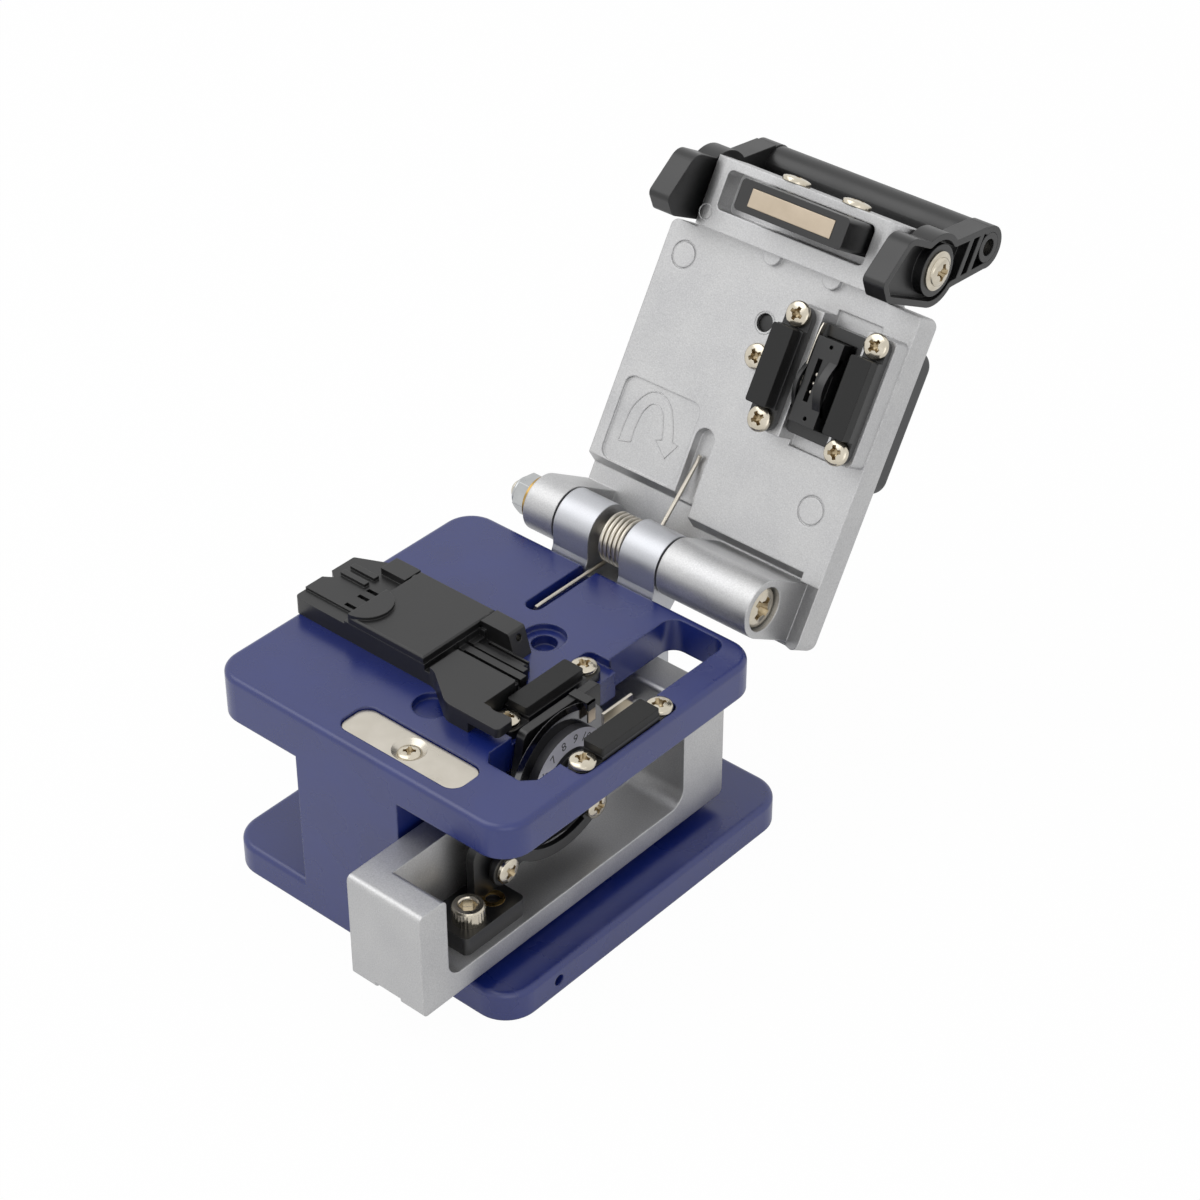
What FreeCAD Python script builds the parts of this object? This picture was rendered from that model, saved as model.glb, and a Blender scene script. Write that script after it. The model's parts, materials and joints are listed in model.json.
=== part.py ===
import FreeCAD, Part
import math
import os

# Fibre cleaver, all sizes in mm.
# Design frame: X to the right, Y from front to hinge, Z up, corner of the deck at X = Y = 0.
# Every piece is moved at the end so that the origin is the middle of the base's underside.
# Lid pieces are drawn in the lid's own frame: x along the hinge, v away from the hinge,
# w out of the lid's inner face, with the hinge axis at v = w = 0.

# ---- fits ----
FIT = 0.03              # screws, pins and inlays in their own holes and seats
RUN = 0.05              # running gap of turning and sliding fits
GAP = 0.3               # free gap between pieces of different bodies

# ---- frame casting ----
DECK_W = 65.0
DECK_D = 61.3
DECK_TOP = 40.7
DECK_T = 8.6
DECK_T_RIGHT = 6.3
DECK_CORNER = 5.5
BASE_W = 64.0
BASE_D = 70.8
BASE_TOP = 5.7
BASE_CORNER = 6.0
EDGE_ROUND = 1.0
PAD_PROUD = 0.3         # how far the rubber sole stands below the casting
PAD_T = 1.2
PAD_MARGIN = 6.0
PILLAR_X = 19.1
PILLAR_GAP = 0.97        # pillar to the carriage
PILLAR_D = 58.0
DIMPLE_BACK = (35.6, 41.3)
DIMPLE_BACK_R = 3.8
DIMPLE_FRONT = (34.3, 16.2)
DIMPLE_FRONT_R = 3.3
DIMPLE_DEPTH = 1.2
SET_SCREW_Y = 12.0
GRUB_DEEP = 5.0
GRUB_SINK = 1.5

# ---- lid hinge ----
HINGE_BACK = 5.8        # hinge axis behind the deck's back edge
HINGE_UP = 3.5          # hinge axis above the deck
KNUCKLE_R = 5.2
PIN_R = 2.0
LID_OPEN = 58.9         # angle of the open lid to the deck, in degrees
LEFT_LUG_X = 12.2
LEFT_LUG_W = 6.5
LUG_GAP = 0.45
BRACKET_LUG_W = 7.8
SPRING_GAP_W = 6.9
RIGHT_LUG_INSET = 4.0    # end of the right lug to the deck's right edge
SCREW_HEAD_R = 3.7
SINK_GAP = 0.3           # hinge screw's head below the end of its counterbore
BRACKET_WALL = 4.6
BRACKET_DROP = 22.0
BRACKET_SCREW_L = 7.0
BRACKET_SEAT = 2.5
HEAD_T = 2.0
NUT_T = 3.8
WASHER_T = 1.1

# ---- spring ----
WIRE_R = 0.4
WIRE_SIDES = 6
COIL_R = 4.2
COIL_TURNS = 6.0
LOWER_LEG = 20.0
UPPER_LEG = 16.0
GROOVE_W = 3.4
GROOVE_X = 28.3
GROOVE_DEPTH = 3.0
GROOVE_LENGTH = 15.7

# ---- keeper ----
KEEPER_IN = 8.6          # middle of the keeper from the magnet holder's left side
KEEPER_Y = 6.15
KEEPER_L = 25.6
KEEPER_W = 6.9
KEEPER_T = 1.6
KEEPER_SINK = 0.5
KEEPER_GAP = 0.15
KEEPER_CORNER = 2.3
COUNTERSINK_R = 2.9
COUNTERSINK_T = 1.3
KEEPER_SCREW_R = 1.95

# ---- clamp ----
LEFT_PAD_INSET = 18.9    # pad centres to the deck's right edge
RIGHT_PAD_INSET = 3.0
PAD_Y = 30.0
PAD_W = 4.1
PAD_L = 13.7
FIBRE_UP = 2.3          # fibre line above the deck
LEFT_BLOCK_W = 5.2
RIGHT_BLOCK_W = 4.1
BLOCK_L = 23.0
PAD_SCREW_SPAN = 18.4
POCKET_DEPTH = 1.6
POCKET_GAP = 0.15
RUBBER_T = 1.5
POCKET_END = 2.0         # clear length of the left pocket behind its block
SHIM_OUT = 4.5           # strip to the middle of the right pad
SHIM_T = 0.5
SHIM_L = 7.0

# ---- opening over the blade ----
OPENING_W = 11.9
OPENING_INSET = 5.5
OPENING_FRONT = 11.2
OPENING_BACK = 59.6
OPENING_R = 2.6

# ---- carriage ----
CAR_INSET = 22.33        # left side of the carriage to the deck's right edge
CAR_W = 15.45
CAR_FRONT = -12.35
CAR_BACK = 60.7
CAR_BOTTOM = 8.0
CAR_FLOOR_T = 4.0
BLOCK_T = 5.95
BLOCK_TOP = 28.4
REAR_T = 10.2
REAR_TOP = 33.4
REAR_SLOPE = 3.4
WEB_T = 4.8
CAR_FILLET = 3.0
RAIL_W = 5.0
RAIL_H = 3.2
RAIL_L = 52.0
RAIL_START = 8.0
RAIL_SCREW_L = 3.8
RAIL_SCREW_R = 1.9
RAIL_SCREW_T = 1.1
RAIL_SINK = 1.5
SLIDER_W = 12.0
SLIDER_L = 22.0
SLIDER_H = 3.8
SLIDER_START = 12.0

# ---- blade unit ----
CAP_Y = 3.3
INSERT_Y = 9.3
MOUNT_BESIDE = 2.5       # mounting block's left side to the blade arm
WHEEL_Y = 25.9
WHEEL_Z = 31.0
WHEEL_R = 12.1
WHEEL_T = 0.8
WHEEL_BEVEL = 1.1
WHEEL_INSET = 11.8       # face of the blade disc to the deck's right edge
AXLE_R = 1.5
SLEEVE_R = 2.6
RING_R = 8.7
RING_T = 1.6
HUB_R = 5.3
HUB_T = 2.0
HUB_SCREW_R = 3.9
HUB_SCREW_T = 1.1
ARM_BEHIND = 3.2         # blade arm behind the disc's face
ARM_T = 1.6
ARM_TOP = 42.0
ARM_FRONT = 19.0
ARM_BACK = 36.9
MOUNT_FRONT = -0.9
MOUNT_D = 13.8
MOUNT_W = 9.2
MOUNT_T = 3.4
GUARD_R = 13.5
GUARD_W = 2.0
GUARD_T = 1.0
GUARD_SCREW_SPAN = 21.3
GUARD_SCREW_BACK = 7.4   # rear guard screw behind the wheel's axis
GUARD_SCREW_DROP = 11.1
GUARD_SCREW_L = 3.0
GUARD_ENDS = 5.5         # guard's ends below the wheel's axis
TAB_W = 1.7
TAB_T = 0.3
TAB_Y = 31.9
TAB_OUT = 0.7            # tab in front of the disc's face

# ---- screws ----
M2_R = 1.0
PAN_R = 2.25
PAN_T = 1.2
CAP_R = 2.75
CAP_T = 3.0
M3_R = 1.5
HOLDER_SCREW_SINK = 2.0

# ---- fibre holder ----
HOLD_X = -0.3
HOLD_FRONT = 19.6
HOLD_BACK = 36.8
HOLD_W = 30.9
HOLD_TOP = 44.4
COVER_X = 12.3
COVER_W = 16.9
COVER_T = 1.25
COVER_AXIS_Y = 35.0
EAR_TOP = 45.7
EAR_L_W = 5.5
EAR_R_W = 6.0
EAR_D = 3.8
FOOT_GAP = 0.1
FOOT_BACK = 26.1
TOE_BEFORE = 4.9         # toe's left end to the foot's right side
TOE_BEND = 7.0           # length of the curve from the body's front to the toe's
TOE_W = 11.3
TOE_FRONT = 14.7
TOE_D = 3.8
TOE_T = 1.7
RAIL_TOP = 43.5
RAIL_FRONT = 27.0
RAIL_BACK = 33.0
RAIL_STEP = 0.5
RAIL_ENDS = (0.5, 2.0, 3.5)     # right ends of the three rails, inside the foot's
HOLD_SCREW_X = 4.5
HOLD_SCREW_Y = 4.5
NOTCH_Y = 7.6
NOTCH_D = 1.6
HOLD_CUT = (7.0, 3.3)
PIN_UNDER = 0.2          # cover's hinge pin below the top
COVER_PIN_R = 0.6
BARREL_R = 1.5
WELL_R = 2.4
GROOVE_BESIDE = 0.2
COVER_GROOVE_W = 1.2
SLOT_RUN = 3.0
SLOT_SIZE = 0.8
RIDGE_PITCH = 2.3
RIDGE_W = 1.1
RIDGE_H = 0.6
LEDGE_D = 2.6
LEDGE_H = 0.5
SCREW_BITE = 0.4
SLOT_ROWS = (3.6, 6.6, 8.7)
THUMB_R = 4.5
THUMB_H = 0.6

# ---- lid ----
LID_X = 12.4
LID_INSET = 0.2
LID_IN = -7.8           # inner face of the plate
LID_T = 6.4
LID_END = 65.9
LID_HEEL = -6.0
HEEL_R = 2.0
THIN_IN = -10.5
THIN_END = 8.5
THIN_END_RIGHT = 5.5
THIN_SPLIT = 36.0
THIN_SLOPE = 1.5
SHOULDER = 53.2
BLOCK_X = 17.9
END_BLOCK_INSET = 7.1    # end block to the lid's right side
BLOCK_V = 53.8
RIM_W = -4.2
BLOCK_CORNER = 3.2
MAG_POCKET_INSET = 4.8   # pocket to the end block's right side
MAG_POCKET_W = 30.6
MAG_POCKET_V = 57.3
MAG_POCKET_D = 7.0
MAG_FLOOR = -8.5
BOSS_R = 1.75
BOSS_V = 51.7
BOSS_RISE = 1.0
SLOT_X = 33.8
SLOT_W = 4.0
SLOT_V = 4.8
SLOT_L = 17.4
SLOT_DEPTH = 2.0
PANEL_X = 14.5
PANEL_W = 16.7
PANEL_V = 10.2
PANEL_L = 15.2
PANEL_DEPTH = 0.5
CLAMP_V = 37.3
CLAMP_L = 21.9
CLAMP_DEPTH = 0.8
SEAT_TOP = -3.8          # top of the raised seat under the lid's clamp blocks
SEAT_EDGE = 0.2
LID_HOLE = (37.0, 42.5)
LID_HOLE_R = 1.6
LID_SCREW_X = 38.1
LID_SCREW_V = 36.8
EJECTOR_MARKS = ((17.0, 47.8, 2.5), (58.1, 16.8, 2.6))     # x, v and radius
MARK_DEPTH = 0.2
MARK_W = 0.3
LID_EAR_W = -2.4        # where the screw heads of the lid's clamp blocks sit
LID_BLOCK_TOP = -1.1
CLOSED_GAP = 0.1

# ---- magnet ----
MAG_HOLD_GAP = 0.6
MAG_HOLD_W = 22.0
MAG_HOLD_V = 58.8
MAG_HOLD_D = 5.4
MAG_HOLD_TOP = 3.2
MAGNET_L = 16.9
MAGNET_D = 3.1
MAGNET_T = 3.0
MAG_SCREW_IN = 4.0
MAG_SCREW_SPAN = 12.5
MAG_SCREW_W = -6.2

# ---- outer cover ----
COVER_OUT_INSET = 0.5
COVER_OUT_W = 20.3
COVER_OUT_V = 22.0
COVER_OUT_L = 25.5
COVER_OUT_T = 4.0
COVER_OUT_R = 3.0

# ---- anvil ----
ANVIL_OUT = 1.0          # middle of the anvil to the disc's face
ANVIL_W = 6.0
ANVIL_L = 15.0
ANVIL_TIP = 0.6
ANVIL_SHELF = -2.2
HOUSING_W = 9.0
HOUSING_L = 19.0
HOUSING_TOP = -4.8
ANVIL_TRAVEL = 0.6
LEAF_T = 0.3

# ---- release lever ----
LEVER_V = 60.9
LEVER_W = -11.4
LEVER_R = 6.4
ARM_GAP = 0.4
LEVER_T = 4.2
LEVER_WALL = 1.1
LEVER_POCKET = 1.8
ROD_SINK = 1.5
TOE_V = 56.2
TOE_TOP = 3.3
GRIP_V = 66.9
GRIP_W = -25.0
GRIP_R = 3.6
GRIP_END_R = 3.8
ROD_R = 1.5
PIVOT_HEAD_R = 3.4
PIVOT_HEAD_T = 1.2
PIVOT_DEPTH = 5.0
RIB_PLACES = (0.55, 0.75)       # of the way from the pivot to the grip

# ---- places worked out from the sizes above ----
WHEEL_FACE = DECK_W - WHEEL_INSET
LEFT_PAD_X = DECK_W - LEFT_PAD_INSET
RIGHT_PAD_X = DECK_W - RIGHT_PAD_INSET
OPENING_RIGHT = DECK_W - OPENING_INSET
OPENING_X = OPENING_RIGHT - OPENING_W
SHIM_X = RIGHT_PAD_X - SHIM_OUT
CAR_X = DECK_W - CAR_INSET
ARM_X = WHEEL_FACE - ARM_BEHIND
ANVIL_X = WHEEL_FACE + ANVIL_OUT
CAP_X = WHEEL_FACE + 0.1
MOUNT_X = ARM_X - MOUNT_BESIDE
FOOT_X = LEFT_PAD_X - LEFT_BLOCK_W / 2 - FOOT_GAP
TOE_X = FOOT_X - TOE_BEFORE
PILLAR_RIGHT = CAR_X - PILLAR_GAP
DECK_BOTTOM = DECK_TOP - DECK_T
DECK_BOTTOM_RIGHT = DECK_TOP - DECK_T_RIGHT
BASE_X = (DECK_W - BASE_W) / 2
HINGE_Y = DECK_D + HINGE_BACK
HINGE_Z = DECK_TOP + HINGE_UP
BRACKET_X = LEFT_LUG_X + LEFT_LUG_W + LUG_GAP
SPRING_X = BRACKET_X + BRACKET_LUG_W
BRACKET_MID = SPRING_X + SPRING_GAP_W
BRACKET_RIGHT = BRACKET_MID + BRACKET_LUG_W
RIGHT_LUG_X = BRACKET_RIGHT + LUG_GAP
RIGHT_LUG_END = DECK_W - RIGHT_LUG_INSET
RIGHT_LUG_W = RIGHT_LUG_END - RIGHT_LUG_X
SCREW_SEAT = RIGHT_LUG_END - SINK_GAP - HEAD_T
PAD_TOP = DECK_TOP + FIBRE_UP
LID_OUT = LID_IN - LID_T
LID_RIGHT = DECK_W - LID_INSET
COVER_OUT_X = LID_RIGHT - COVER_OUT_INSET - COVER_OUT_W
BLOCK_RIGHT = LID_RIGHT - END_BLOCK_INSET
MAG_POCKET_X = BLOCK_RIGHT - MAG_POCKET_INSET - MAG_POCKET_W
MAG_HOLD_X = BLOCK_RIGHT - MAG_POCKET_INSET - MAG_HOLD_GAP - MAG_HOLD_W
MAG_SCREW_X = MAG_HOLD_X + MAG_SCREW_IN
KEEPER_X = MAG_HOLD_X + KEEPER_IN
LEFT_ARM_X = BLOCK_X - ARM_GAP - LEVER_T
RIGHT_ARM_X = BLOCK_RIGHT + ARM_GAP
SEAT_X = LEFT_PAD_X - LEFT_BLOCK_W / 2 - SEAT_EDGE
CLOSED_PAD = HINGE_Z - PAD_TOP - CLOSED_GAP
ORIGIN = FreeCAD.Vector(DECK_W / 2, BASE_D / 2, 0)


# ---- drawing helpers ----
def lift(along, a, b, c):
    """Point of a profile (a, b) at height c along the named axis."""
    if along == "x":
        return FreeCAD.Vector(c, a, b)
    if along == "y":
        return FreeCAD.Vector(a, c, b)
    return FreeCAD.Vector(a, b, c)


def corner(before, point, after):
    """Start, middle and end of the arc that rounds a corner, or the bare corner."""
    if len(point) < 3 or point[2] == 0:
        return [point[:2]]
    sides = []
    for other in (before, after):
        da = other[0] - point[0]
        db = other[1] - point[1]
        length = math.hypot(da, db)
        sides.append((da / length, db / length))
    (a0, b0), (a1, b1) = sides
    half = math.acos(max(-1.0, min(1.0, a0 * a1 + b0 * b1))) / 2
    back = point[2] / math.tan(half)
    ma, mb = a0 + a1, b0 + b1
    size = math.hypot(ma, mb)
    reach = point[2] / math.sin(half) - point[2]
    start = (point[0] + a0 * back, point[1] + b0 * back)
    middle = (point[0] + ma / size * reach, point[1] + mb / size * reach)
    end = (point[0] + a1 * back, point[1] + b1 * back)
    return [start, middle, end]


def prism(along, points, low, high):
    """Solid with a straight-sided outline; a third number rounds that corner."""
    rounded = []
    for i, point in enumerate(points):
        rounded.append(corner(points[i - 1], point, points[(i + 1) % len(points)]))
    edges = []
    for i, here in enumerate(rounded):
        raised = [lift(along, a, b, low) for a, b in here]
        if len(raised) == 3:
            edges.append(Part.Arc(*raised).toShape())
        nearby = rounded[(i + 1) % len(rounded)][0]
        following = lift(along, nearby[0], nearby[1], low)
        if raised[-1].distanceToPoint(following) > 1e-6:
            edges.append(Part.makeLine(raised[-1], following))
    face = Part.Face(Part.Wire(edges))
    return face.extrude(lift(along, 0, 0, high - low))


def box(x0, x1, y0, y1, z0, z1):
    return Part.makeBox(x1 - x0, y1 - y0, z1 - z0, FreeCAD.Vector(x0, y0, z0))


def plate(x0, x1, y0, y1, z0, z1, radius):
    """Box with its four upright corners rounded."""
    points = [(x0, y0, radius), (x1, y0, radius), (x1, y1, radius), (x0, y1, radius)]
    return prism("z", points, z0, z1)


def rod(along, a, b, low, high, radius):
    return Part.makeCylinder(radius, high - low, lift(along, a, b, low), lift(along, 0, 0, 1))


def tube(along, a, b, low, high, radius, bore):
    return rod(along, a, b, low, high, radius).cut(rod(along, a, b, low - 1, high + 1, bore))


def soften(shape, radius, axis, height):
    """Fillet every edge that lies flat at a height along an axis."""
    chosen = []
    for edge in shape.Edges:
        limits = edge.BoundBox
        low = getattr(limits, axis + "Min")
        high = getattr(limits, axis + "Max")
        if abs(low - height) < 1e-4 and abs(high - height) < 1e-4:
            chosen.append(edge)
    return shape.makeFillet(radius, chosen)


def bevel(shape, size, axis, height):
    """Chamfer every edge that lies flat at a height along an axis."""
    chosen = []
    for edge in shape.Edges:
        limits = edge.BoundBox
        low = getattr(limits, axis + "Min")
        high = getattr(limits, axis + "Max")
        if abs(low - height) < 1e-4 and abs(high - height) < 1e-4:
            chosen.append(edge)
    return shape.makeChamfer(size, chosen)


def fuse(shapes):
    joined = shapes[0].multiFuse(shapes[1:])
    return joined.removeSplitter()


def cut(shape, tools):
    for tool in tools:
        shape = shape.cut(tool)
    return shape


def pan_screw(shank, head_r=PAN_R, head_t=PAN_T, shank_r=M2_R):
    """Pan-head screw along Z, with the underside of its head at height 0."""
    rim = head_t * 0.45
    head = Part.makeCylinder(head_r, rim)
    crown = Part.makeCone(head_r, head_r * 0.72, head_t - rim, FreeCAD.Vector(0, 0, rim))
    body = Part.makeCylinder(shank_r, shank, FreeCAD.Vector(0, 0, -shank))
    return head.fuse(crown).fuse(body).removeSplitter()


def aim(shape, point, direction):
    """Turn a piece drawn along Z to a direction and move it to a point."""
    turned = shape.copy()
    turned.Placement = FreeCAD.Placement(
        FreeCAD.Vector(*point),
        FreeCAD.Rotation(FreeCAD.Vector(0, 0, 1), FreeCAD.Vector(*direction)),
    )
    return turned


def open_lid(shape):
    """Take a piece from the lid's own frame to the open lid."""
    placed = shape.copy()
    turn = FreeCAD.Rotation(FreeCAD.Vector(1, 0, 0), LID_OPEN)
    placed.Placement = FreeCAD.Placement(FreeCAD.Vector(0, HINGE_Y, HINGE_Z), turn).multiply(
        placed.Placement
    )
    return placed


# ---- deck clamp: shared places ----
def pad_screw_spots():
    return [(x, PAD_Y + side * PAD_SCREW_SPAN / 2)
            for x in (LEFT_PAD_X, RIGHT_PAD_X) for side in (-1, 1)]


def block_half_width(x):
    return (LEFT_BLOCK_W if x == LEFT_PAD_X else RIGHT_BLOCK_W) / 2


# ---- frame ----
def frame_opening(low, high):
    edge = LEFT_PAD_X + LEFT_BLOCK_W / 2 + POCKET_GAP + 0.5
    back = PAD_Y + BLOCK_L / 2 + POCKET_END
    front = OPENING_FRONT + 2
    points = [
        (edge, front, 1.0), (edge + 1.5, OPENING_FRONT, 1.0),
        (OPENING_RIGHT - 2, OPENING_FRONT, 1.0), (OPENING_RIGHT, front, 1.0),
        (OPENING_RIGHT, OPENING_BACK, OPENING_R), (OPENING_X, OPENING_BACK, OPENING_R),
        (OPENING_X, back, 0.5), (edge, back, 0.5),
    ]
    return prism("z", points, low, high)


def body_frame():
    base = plate(BASE_X, BASE_X + BASE_W, 0, BASE_D, PAD_PROUD, BASE_TOP, BASE_CORNER)
    base = soften(base, EDGE_ROUND, "Z", BASE_TOP)
    deck = plate(0, DECK_W, 0, DECK_D, DECK_BOTTOM, DECK_TOP, DECK_CORNER)
    deck = soften(deck, EDGE_ROUND, "Z", DECK_TOP)
    deck = deck.cut(box(PILLAR_RIGHT, DECK_W + 1, -1, DECK_D + 1, 0, DECK_BOTTOM_RIGHT))
    pillar = box(PILLAR_X, PILLAR_RIGHT, 0, PILLAR_D, BASE_TOP - EDGE_ROUND - 1, DECK_BOTTOM + 1)
    toe = box(PILLAR_X, PILLAR_RIGHT, 0, PILLAR_D, BASE_TOP - 2, BASE_TOP)
    frame = fuse([base, deck, pillar, toe])
    sole = plate(BASE_X + PAD_MARGIN - FIT, BASE_X + BASE_W - PAD_MARGIN + FIT,
                 PAD_MARGIN - FIT, BASE_D - PAD_MARGIN + FIT, -1, PAD_T, 3.0)
    deep = DECK_TOP - POCKET_DEPTH
    tools = [sole, frame_opening(DECK_BOTTOM_RIGHT - 1, DECK_TOP + 1)]
    tools.append(keeper_outline(KEEPER_GAP, DECK_TOP - KEEPER_SINK - KEEPER_T, DECK_TOP + 1))
    tools.append(rod("z", KEEPER_X, KEEPER_Y, DECK_TOP - 8, DECK_TOP, M2_R + FIT))
    groove_front = DECK_D - GROOVE_LENGTH + GROOVE_W / 2
    tools.append(box(GROOVE_X - GROOVE_W / 2, GROOVE_X + GROOVE_W / 2, groove_front, DECK_D + 1,
                     DECK_TOP - GROOVE_DEPTH, DECK_TOP + 1))
    tools.append(rod("z", GROOVE_X, groove_front, DECK_TOP - GROOVE_DEPTH, DECK_TOP + 1,
                     GROOVE_W / 2))
    for x in (LEFT_PAD_X, RIGHT_PAD_X):
        half = block_half_width(x) + POCKET_GAP
        reach = x + half if x > OPENING_RIGHT else OPENING_X + 3
        near = x - half if x < OPENING_RIGHT else OPENING_RIGHT - 1
        behind = POCKET_GAP if x > OPENING_RIGHT else POCKET_END
        tools.append(plate(near, reach, PAD_Y - BLOCK_L / 2 - POCKET_GAP,
                           PAD_Y + BLOCK_L / 2 + behind, deep, DECK_TOP + 1, 1.5))
    for x, y in pad_screw_spots():
        tools.append(rod("z", x, y, deep - 3.5, DECK_TOP, M2_R + FIT))
    for x, y in holder_screw_spots():
        tools.append(rod("z", x, y, DECK_BOTTOM - 1, DECK_TOP + 1, M2_R + FIT))
        tools.append(rod("z", x, y, DECK_BOTTOM - 1, DECK_BOTTOM + HOLDER_SCREW_SINK, PAN_R + GAP))
    for x, y in bracket_screw_spots():
        tools.append(rod("y", x, y, DECK_D - 6, DECK_D + 1, M2_R + FIT))
    for y in rail_screw_spots():
        tools.append(rod("z", CAR_X + CAR_W / 2, y, BASE_TOP - 3, BASE_TOP + 1, M2_R + FIT))
    for spot, radius in ((DIMPLE_BACK, DIMPLE_BACK_R), (DIMPLE_FRONT, DIMPLE_FRONT_R)):
        tools.append(rod("z", *spot, DECK_TOP - DIMPLE_DEPTH, DECK_TOP + 1, radius))
    tools.append(rod("z", *DIMPLE_BACK, DECK_TOP - DIMPLE_DEPTH * 2.5, DECK_TOP + 1,
                     DIMPLE_BACK_R * 0.58))
    tools.append(rod("x", SET_SCREW_Y, BASE_TOP / 2, BASE_X + BASE_W - GRUB_DEEP,
                     BASE_X + BASE_W + 1, M2_R + FIT))
    return cut(frame, tools)


def base_pad():
    return plate(BASE_X + PAD_MARGIN, BASE_X + BASE_W - PAD_MARGIN, PAD_MARGIN,
                 BASE_D - PAD_MARGIN, 0, PAD_T, 3.0 - FIT)


def set_screw():
    end = BASE_X + BASE_W - GRUB_SINK
    grub = rod("x", SET_SCREW_Y, BASE_TOP / 2, BASE_X + BASE_W - GRUB_DEEP, end, M2_R)
    return grub.cut(rod("x", SET_SCREW_Y, BASE_TOP / 2, end - 1, end + 1, M2_R * 0.5))


# ---- keeper ----
def keeper_outline(grow, low, high):
    return plate(KEEPER_X - KEEPER_L / 2 - grow, KEEPER_X + KEEPER_L / 2 + grow,
                 KEEPER_Y - KEEPER_W / 2 - grow, KEEPER_Y + KEEPER_W / 2 + grow,
                 low, high, KEEPER_CORNER + grow)


def countersink(grow, reach):
    """Cone of the keeper's countersink up to a radius, with the screw's hole below it."""
    bottom = DECK_TOP - KEEPER_SINK - COUNTERSINK_T
    height = COUNTERSINK_T * (reach - M2_R) / (COUNTERSINK_R - M2_R)
    cone = Part.makeCone(M2_R + grow, reach + grow, height,
                         FreeCAD.Vector(KEEPER_X, KEEPER_Y, bottom))
    return cone.fuse(rod("z", KEEPER_X, KEEPER_Y, DECK_TOP - 7, bottom + 0.1, M2_R + grow))


def keeper_plate():
    bottom = DECK_TOP - KEEPER_SINK - KEEPER_T
    return keeper_outline(0, bottom, bottom + KEEPER_T).cut(countersink(FIT, COUNTERSINK_R))


def keeper_screw():
    return countersink(0, KEEPER_SCREW_R)


# ---- clamp on the deck ----
def deck_block(x):
    half = block_half_width(x)
    ear = DECK_TOP
    deep = DECK_TOP - POCKET_DEPTH
    slab = plate(x - half, x + half, PAD_Y - BLOCK_L / 2, PAD_Y + BLOCK_L / 2, deep, ear,
                 min(half - 0.1, 2.0))
    saddle = box(x - half, x + half, PAD_Y - PAD_L / 2, PAD_Y + PAD_L / 2, ear - 1,
                 PAD_TOP - RUBBER_T)
    holes = [rod("z", x, PAD_Y + side * PAD_SCREW_SPAN / 2, deep - 1, ear + 1, M2_R + FIT)
             for side in (-1, 1)]
    return cut(slab.fuse(saddle), holes)


def deck_pad(x):
    half = min(PAD_W, 2 * block_half_width(x)) / 2
    return plate(x - half, x + half, PAD_Y - PAD_L / 2, PAD_Y + PAD_L / 2,
                 PAD_TOP - RUBBER_T, PAD_TOP, 0.4)


def deck_pad_screws():
    screw = pan_screw(4.5, head_r=2.2)
    return [aim(screw, (x, y, DECK_TOP), (0, 0, 1)) for x, y in pad_screw_spots()]


def pad_shim():
    inner = RIGHT_PAD_X - RIGHT_BLOCK_W / 2
    top = DECK_TOP + 1.2
    upright = box(SHIM_X - SHIM_T, SHIM_X, PAD_Y + 1, PAD_Y + 1 + SHIM_L, DECK_TOP - 1, top)
    foot = box(SHIM_X - SHIM_T, inner - FIT, PAD_Y + 1, PAD_Y + 1 + SHIM_L, DECK_TOP - 1,
               DECK_TOP - 1 + SHIM_T)
    return upright.fuse(foot)


# ---- hinge ----
def bracket_screw_spots():
    height = DECK_TOP - DECK_T / 2 - 0.6
    return [(BRACKET_X + 4, height), (BRACKET_RIGHT - 4, height)]


def hinge_bracket():
    front = DECK_D + FIT
    drop = HINGE_Z - BRACKET_DROP
    points = [
        (front, drop, 0.6), (front + BRACKET_WALL, drop, 1.5),
        (front + BRACKET_WALL, HINGE_Z - 9, 2.0), (HINGE_Y + KNUCKLE_R, HINGE_Z - 3),
        (HINGE_Y + KNUCKLE_R, HINGE_Z), (HINGE_Y - KNUCKLE_R, HINGE_Z),
        (HINGE_Y - KNUCKLE_R, HINGE_Z - 3), (front, DECK_TOP - 1.0),
    ]
    web = prism("x", points, BRACKET_X, BRACKET_RIGHT)
    barrel = rod("x", HINGE_Y, HINGE_Z, BRACKET_X, BRACKET_RIGHT, KNUCKLE_R)
    bracket = fuse([web, barrel])
    room = rod("x", HINGE_Y, HINGE_Z, SPRING_X, BRACKET_MID, COIL_R + 1.4)
    upper = box(SPRING_X, BRACKET_MID, DECK_D - 1, HINGE_Y + KNUCKLE_R + 2, HINGE_Z - 1,
                HINGE_Z + KNUCKLE_R + 1)
    leg = box(SPRING_X, BRACKET_MID, DECK_D - 1, HINGE_Y, HINGE_Z - COIL_R - 1.6, HINGE_Z)
    rear = box(SPRING_X, BRACKET_MID, HINGE_Y, HINGE_Y + KNUCKLE_R + 2, HINGE_Z - 4, HINGE_Z)
    bore = rod("x", HINGE_Y, HINGE_Z, BRACKET_X - 1, BRACKET_RIGHT + 1, PIN_R + RUN)
    tools = [room, upper, leg, rear, bore]
    for x, z in bracket_screw_spots():
        tools.append(rod("y", x, z, DECK_D - 1, DECK_D + 9, M2_R + FIT))
        tools.append(rod("y", x, z, front + BRACKET_SEAT, front + 12, PAN_R + GAP))
    return cut(bracket, tools)


def hinge_bracket_screws():
    screw = pan_screw(BRACKET_SCREW_L)
    return [aim(screw, (x, DECK_D + FIT + BRACKET_SEAT, z), (0, 1, 0))
            for x, z in bracket_screw_spots()]


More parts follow.
